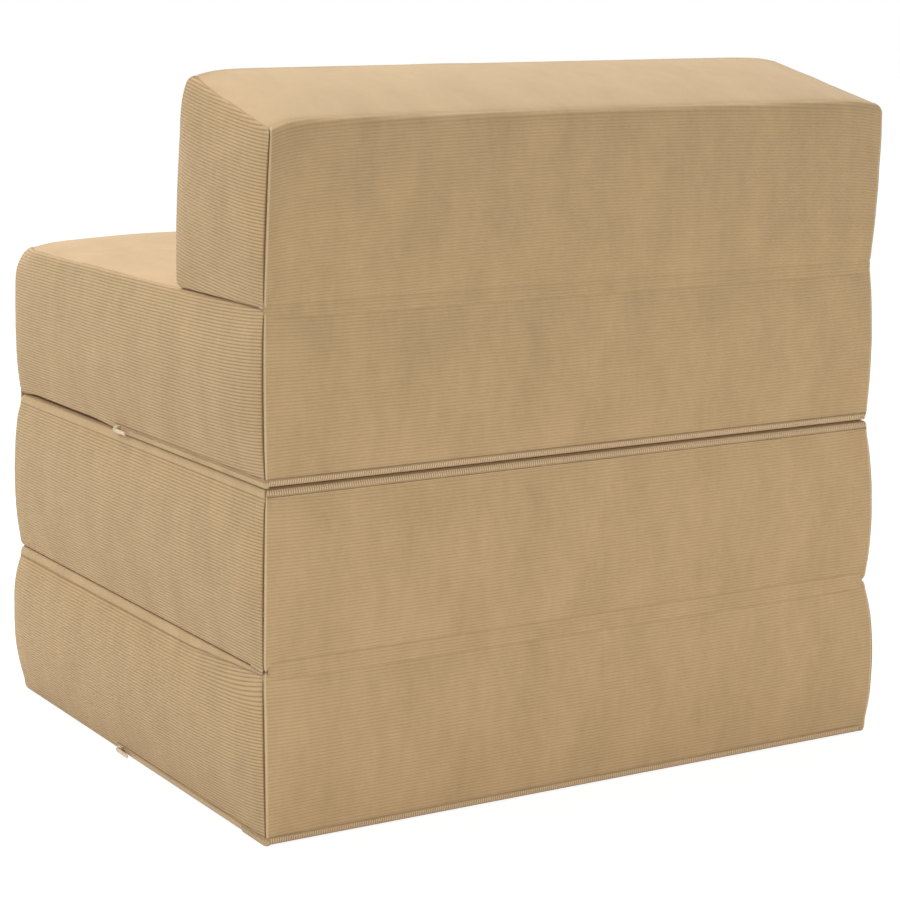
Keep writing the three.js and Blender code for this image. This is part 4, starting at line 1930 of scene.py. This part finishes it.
@dataclass
class Overlock:
    """A short row of overlock stitches that shows where a seam ends.

    Args:
        name: The row's name.
        block: The block that it is sewn to.
        start: The row's first place.
        end: The row's last place, at the corner.
        up: The way across the row.
        thread: The thread's material.
        pitch: The distance from stitch to stitch.
        stitch: A stitch's length.
        thickness: Half the thread's thickness.
        lean: How far a stitch leans along the row for each part across it.
        thick_share: The share of its length up to which it has its full thickness.
    """

    name: str
    block: str
    start: Vector
    end: Vector
    up: Vector
    thread: Material
    pitch: float = 1.7 * MM
    stitch: float = 3.2 * MM
    thickness: float = 0.45 * MM
    lean: float = 0.7
    thick_share: float = 0.6

    def build(self) -> None:
        """Builds the row."""
        way = self.end - self.start
        along = way.normalized()
        out = along.cross(self.up).normalized()
        slant = (self.up + along * self.lean).normalized() * self.stitch / 2
        points, faces = [], []
        for number in range(int(way.length / self.pitch)):
            middle = self.start + along * (number + 0.5) * self.pitch
            faces.extend(self.spindle_faces(len(points)))
            points.extend(self.spindle(middle, slant, out))
        row = new_mesh(self.name, np.array([tuple(p) for p in points]), faces)
        face_outwards(row)
        dress(row, self.thread)
        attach(row, self.block)
        LOG.info("%s: %d points", self.name, len(points))

    def spindle(self, middle: Vector, slant: Vector, out: Vector) -> list[Vector]:
        """The points of one stitch, a thread with pointed ends.

        Args:
            middle: The stitch's middle.
            slant: The way from its middle to its end.
            out: The way out from the cloth.

        Returns:
            One end, four points near it, four near the other end, and the other end.
        """
        side = slant.normalized().cross(out)
        points = [middle - slant]
        for share in (-self.thick_share, self.thick_share):
            for across, above in ((1, 0), (0, 1), (-1, 0), (0, -1)):
                points.append(middle + slant * share + (side * across + out * above) * self.thickness)
        return [*points, middle + slant]

    @staticmethod
    def spindle_faces(base: int) -> list[tuple[int, ...]]:
        """The faces of one stitch.

        Args:
            base: The number of its first point.

        Returns:
            The faces.
        """
        faces = []
        for i in range(4):
            near, after = base + 1 + i, base + 1 + (i + 1) % 4
            faces.append((base, near, after))
            faces.append((near, near + 4, after + 4, after))
            faces.append((base + 9, after + 4, near + 4))
        return faces


# Studio

WHITE = (1, 1, 1, 1)
PAPER_SURFACE = {"Base Color": (0.93, 0.93, 0.93, 1), "Roughness": 1.0, "Specular IOR Level": 0.0}
FLOOR_HALF = 12.0
FLOOR_WHITE_SHARE = 0.65
FLOOR_WHITE_STRENGTH = 1.3
WORLD_STRENGTH = 0.56


@dataclass(frozen=True)
class Lamp:
    """A soft rectangular light.

    Args:
        name: The light's name.
        place: Where it hangs.
        target: What it points at.
        sides: Its width and its height.
        power: Its power in watts.
    """

    name: str
    place: tuple[float, float, float]
    target: tuple[float, float, float]
    sides: tuple[float, float]
    power: float

    def build(self) -> None:
        """Hangs the light."""
        data = bpy.data.lights.new(self.name, "AREA")
        data.shape = "RECTANGLE"
        data.size, data.size_y = self.sides
        data.energy = self.power
        lamp = bpy.data.objects.new(self.name, data)
        bpy.context.scene.collection.objects.link(lamp)
        lamp.location = self.place
        way = Vector(self.target) - Vector(self.place)
        lamp.rotation_euler = way.to_track_quat("-Z", "Y").to_euler()


# A large key light above the right-hand end, one above the front, and a low strip behind.
LAMPS = (
    Lamp("key", (1.9, -0.4, 3.1), (0, 0, 0.35), (2.6, 2.6), 38),
    Lamp("overhead", (0.2, -2.2, 3.5), (0, -0.2, 0.3), (2.0, 2.0), 65),
    Lamp("rear_strip", (-0.3, 0.95, 0.07), (-0.3, 0, 0.07), (2.0, 0.12), 1.6),
)


@dataclass
class Studio:
    """The plain floor, the soft light and the camera at the photograph's angle.

    Args:
        camera_place: Where the camera stands.
        azimuth: Its angle round the object, in degrees.
        elevation: Its angle above the floor, in degrees.
        lens: Its focal length, in millimetres.
        shift: Its shift up the picture.
        sensor: The width of its sensor, in millimetres.
        sight: How far it sees, in metres.
    """

    camera_place: tuple[float, float, float] = (1.3367, 2.3058, 0.7958)
    azimuth: float = 149.45
    elevation: float = 8.85
    lens: float = 101.3
    shift: float = -0.0967
    sensor: float = 36
    sight: float = 50

    def build(self) -> None:
        """Builds the floor, the lights, the world and the camera."""
        self.floor()
        for lamp in LAMPS:
            lamp.build()
        self.world()
        self.camera()

    @staticmethod
    def white_to_camera(tree: NodeTree, white: Socket, share: float) -> None:
        """Shows white to the camera and the plain shader to everything else.

        Args:
            tree: The node tree, whose shader lights the object.
            white: What the camera sees.
            share: The share of white that the camera sees.
        """
        path = tree.add("LightPath").outputs
        seen = tree.math("MAXIMUM", path["Is Camera Ray"], path["Is Glossy Ray"])
        seen = tree.math("MAXIMUM", seen, path["Is Transmission Ray"])
        seen = tree.math("MULTIPLY", seen, share)
        mix = tree.add("MixShader")
        for source, target in zip((seen, tree.shader.outputs[0], white), mix.inputs):
            tree.join(source, target)
        output = next(node for node in tree.nodes if node.name.endswith("Output"))
        tree.join(mix.outputs[0], output.inputs["Surface"])

    def floor(self) -> None:
        """A pale floor that keeps the shadow."""
        corners = [(-FLOOR_HALF, -FLOOR_HALF), (FLOOR_HALF, -FLOOR_HALF)]
        corners += [(FLOOR_HALF, FLOOR_HALF), (-FLOOR_HALF, FLOOR_HALF)]
        floor = new_mesh("studio_floor", np.array([(x, y, 0) for x, y in corners]), [(0, 1, 2, 3)])
        tree = NodeTree(bpy.data.materials.new("studio_paper"))
        white = tree.add("Emission")
        white.inputs["Color"].default_value = WHITE
        white.inputs["Strength"].default_value = FLOOR_WHITE_STRENGTH
        self.white_to_camera(tree, white.outputs[0], FLOOR_WHITE_SHARE)
        floor.data.materials.append(tree.surface(PAPER_SURFACE))

    def world(self) -> None:
        """A white surround that lights the object plainly."""
        world = bpy.data.worlds.new("studio")
        bpy.context.scene.world = world
        tree = NodeTree(world, "Background")
        white = tree.add("Background")
        for node, strength in ((tree.shader, WORLD_STRENGTH), (white, 1.0)):
            node.inputs["Color"].default_value = WHITE
            node.inputs["Strength"].default_value = strength
        self.white_to_camera(tree, white.outputs[0], 1.0)

    def camera(self) -> None:
        """The camera at the photograph's angle."""
        data = bpy.data.cameras.new("camera")
        data.lens = self.lens
        data.sensor_width = self.sensor
        data.shift_y = self.shift
        data.clip_end = self.sight
        camera = bpy.data.objects.new("camera", data)
        bpy.context.scene.collection.objects.link(camera)
        a, e = math.radians(self.azimuth), math.radians(self.elevation)
        back = Vector((math.sin(a) * math.cos(e), -math.cos(a) * math.cos(e), math.sin(e)))
        camera.location = self.camera_place
        camera.rotation_mode = "QUATERNION"
        camera.rotation_quaternion = (-back).to_track_quat("-Z", "Y")
        bpy.context.scene.camera = camera
        bpy.context.scene.view_settings.view_transform = "Standard"


# The sofa bed

ZIP_START = 5 * MM
ZIP_REACH = 340 * MM
ZIP_FLAPS = (50 * MM, 0.0, 400 * MM)
STITCHES_RISE = 2.2 * MM
STITCHES_FALL = 0.8 * MM
STITCHES_INSET = 0.8 * MM
STITCHES_END = 2 * MM


class SofaBed:
    """The whole sofa bed: four covers, four zips and three cloth hinges."""

    def __init__(self) -> None:
        """Makes the materials that its pieces share."""
        self.cloth = CORDUROY.material()
        self.end_cloth = END_CORDUROY_PAINTED_SHADE.material()
        self.zip_materials = {
            "tape": TAPE.material(),
            "coil": COIL.material(),
            "slider": ENAMEL.material(),
            "facing": FACING.material(),
        }
        self.thread = THREAD.material()

    def flat_shape(self, name: str, level: int, lower: Edge, upper: Edge, **more: object) -> BlockShape:
        """The form of a flat block.

        Args:
            name: The block's name.
            level: Its place in the stack, from 0.
            lower: Its lower edges.
            upper: Its upper edges.
            more: Other fields of the form.

        Returns:
            The form.
        """
        low = SEAM_LEVELS[level] + (CLEARANCE / 2 if level else 0)
        high = SEAM_LEVELS[level + 1] - CLEARANCE / 2
        front, rear = -HALF_DEPTH, HALF_DEPTH
        corners = np.array([(front, low), (rear, low), (rear, high), (front, high)])
        return BlockShape(name, corners, lower, upper, insets=END_INSETS[level:level + 2], **more)

    def wedge_shape(self, seat: BlockShape) -> BlockShape:
        """The form of the backrest, which leans back on the seat's swell.

        Args:
            seat: The seat's form.

        Returns:
            The form.
        """
        foot = math.atan2(4 * SEAT_SWELL, BLOCK_DEPTH - 2 * PLAIN_EDGE.draw)
        low_rear = np.array([HALF_DEPTH, SEAM_LEVELS[3] + CLEARANCE])
        low_front = low_rear + BACKREST_DEPTH * np.array([-math.cos(foot), math.sin(foot)])
        top_front, top_rear = (
            low + length * np.array([math.sin(lean), math.cos(lean)])
            for low, length, lean in (
                (low_front, BACKREST_FRONT_HEIGHT, BACKREST_FRONT_LEAN),
                (low_rear, BACKREST_REAR_HEIGHT, BACKREST_REAR_LEAN),
            )
        )
        corners = np.array([low_front, low_rear, top_rear, top_front])
        return BlockShape(
            "backrest", corners, PLAIN_EDGE, RIDGE_EDGE, front_crown=5 * MM, top_crown=5 * MM,
            top_power=2.5, lift=(5.5 * MM, 4.5 * MM), lift_power=16, insets=END_INSETS[3:],
            seam_swell=0.5 * MM, end_swell=0.5 * MM,
            wale_tilt=math.radians(8.8), wale_bend=8 * MM, wale_rise=-0.5 * MM,
            wale_arch=8 * MM, rear_pitch_share=0.94, drawn_down=4 * MM, end_draw_share=0.5,
            soft_corner=4 * MM, rests_on=seat,
        )

    def covers(self) -> list[BlockShape]:
        """Builds the four covers.

        Returns:
            Their forms, from the bottom up.
        """
        bottom = self.flat_shape(
            "bottom", 0, FLOOR_EDGE, PLAIN_EDGE, end_swell=7 * MM, flare=5.5 * MM, straight_share=0.8,
            wale_bend=11 * MM, rear_pitch_share=1.045, seam_line=10.5 * MM, line_share=0.8, closes=True,
        )
        middle = self.flat_shape(
            "middle", 1, PLAIN_EDGE, ZIP_EDGE, seam_line=10 * MM, hollows=(0.0, 6 * MM),
            straight_share=0.5, rear_pitch_share=1.02,
        )
        seat = self.flat_shape(
            "seat", 2, ZIP_EDGE, PLAIN_EDGE, seam_swell=1.5 * MM, end_swell=1.5 * MM, top_crown=5 * MM,
            lift=(7.5 * MM, 0.0), gape=3 * MM, soft_corner=9 * MM, wale_bend=7.5 * MM,
            hollows=(6 * MM, 0.0),
        )
        shapes = [bottom, middle, seat, self.wedge_shape(seat)]
        for shape in shapes:
            PaddedBlock(shape, self.cloth, self.end_cloth).build()
        return shapes

    def zips(self, shapes: Sequence[BlockShape]) -> None:
        """Builds the four zips.

        Args:
            shapes: The blocks' forms, from the bottom up.
        """
        start = ZIP_START - HALF_WIDTH
        for shape, level, side, flap in zip(
            shapes, (Level.LOWER, Level.UPPER, Level.LOWER), (1, -1, 1), ZIP_FLAPS
        ):
            upper = level is Level.UPPER
            run = Run(
                tuple(shape.corners[2 if upper else 1]), (1, 0), (0, level.value), start, HALF_WIDTH,
                ZIP_REACH, side, half_width=HALF_WIDTH - shape.insets[1 if upper else 0],
            )
            edge = shape.upper if upper else shape.lower
            Zip(shape.name, edge, run, flap=flap, lip=upper, materials=self.zip_materials).build()
        wedge = shapes[-1]
        out = wedge.corners[0] - wedge.corners[1]
        up = wedge.corners[3] - wedge.corners[0]
        ways = (tuple(way / np.linalg.norm(way)) for way in (out, up))
        run = Run(tuple(wedge.corners[0]), *ways, start, -start)
        Zip(wedge.name, PLAIN_EDGE, run, materials=self.zip_materials).build()

    def hinges(self) -> None:
        """Builds the three cloth hinges."""
        ClothHinge("lower", "bottom", "middle", SEAM_LEVELS[1], 1, PLAIN_EDGE, self.cloth).build()
        ClothHinge("upper", "middle", "seat", SEAM_LEVELS[2], -1, ZIP_EDGE, self.cloth).build()
        ClothHinge("back", "seat", "backrest", SEAM_LEVELS[3], 1, PLAIN_EDGE, self.cloth).build()

    def stitches(self) -> None:
        """Builds the overlock stitches that show at the right-hand rear corners."""
        up = Vector((0, 0, 1))
        for name, block, level, length in (
            ("lower_overlock", "middle", 1, 26 * MM),
            ("upper_overlock", "backrest", 3, 9 * MM),
        ):
            height = SEAM_LEVELS[level] + STITCHES_RISE
            beside = HALF_WIDTH - END_INSETS[level] - STITCHES_INSET
            start = Vector((beside, HALF_DEPTH - length, height))
            end = Vector((beside, HALF_DEPTH - STITCHES_END, height - STITCHES_FALL))
            Overlock(name, block, start, end, up, self.thread).build()

    def build(self) -> None:
        """Builds every piece in order."""
        shapes = self.covers()
        self.zips(shapes)
        self.hinges()
        self.stitches()


def main() -> None:
    """Builds the scene."""
    logging.basicConfig(level=logging.INFO, format="%(name)s: %(message)s")
    Studio().build()
    SofaBed().build()


if __name__ == "__main__":
    main()
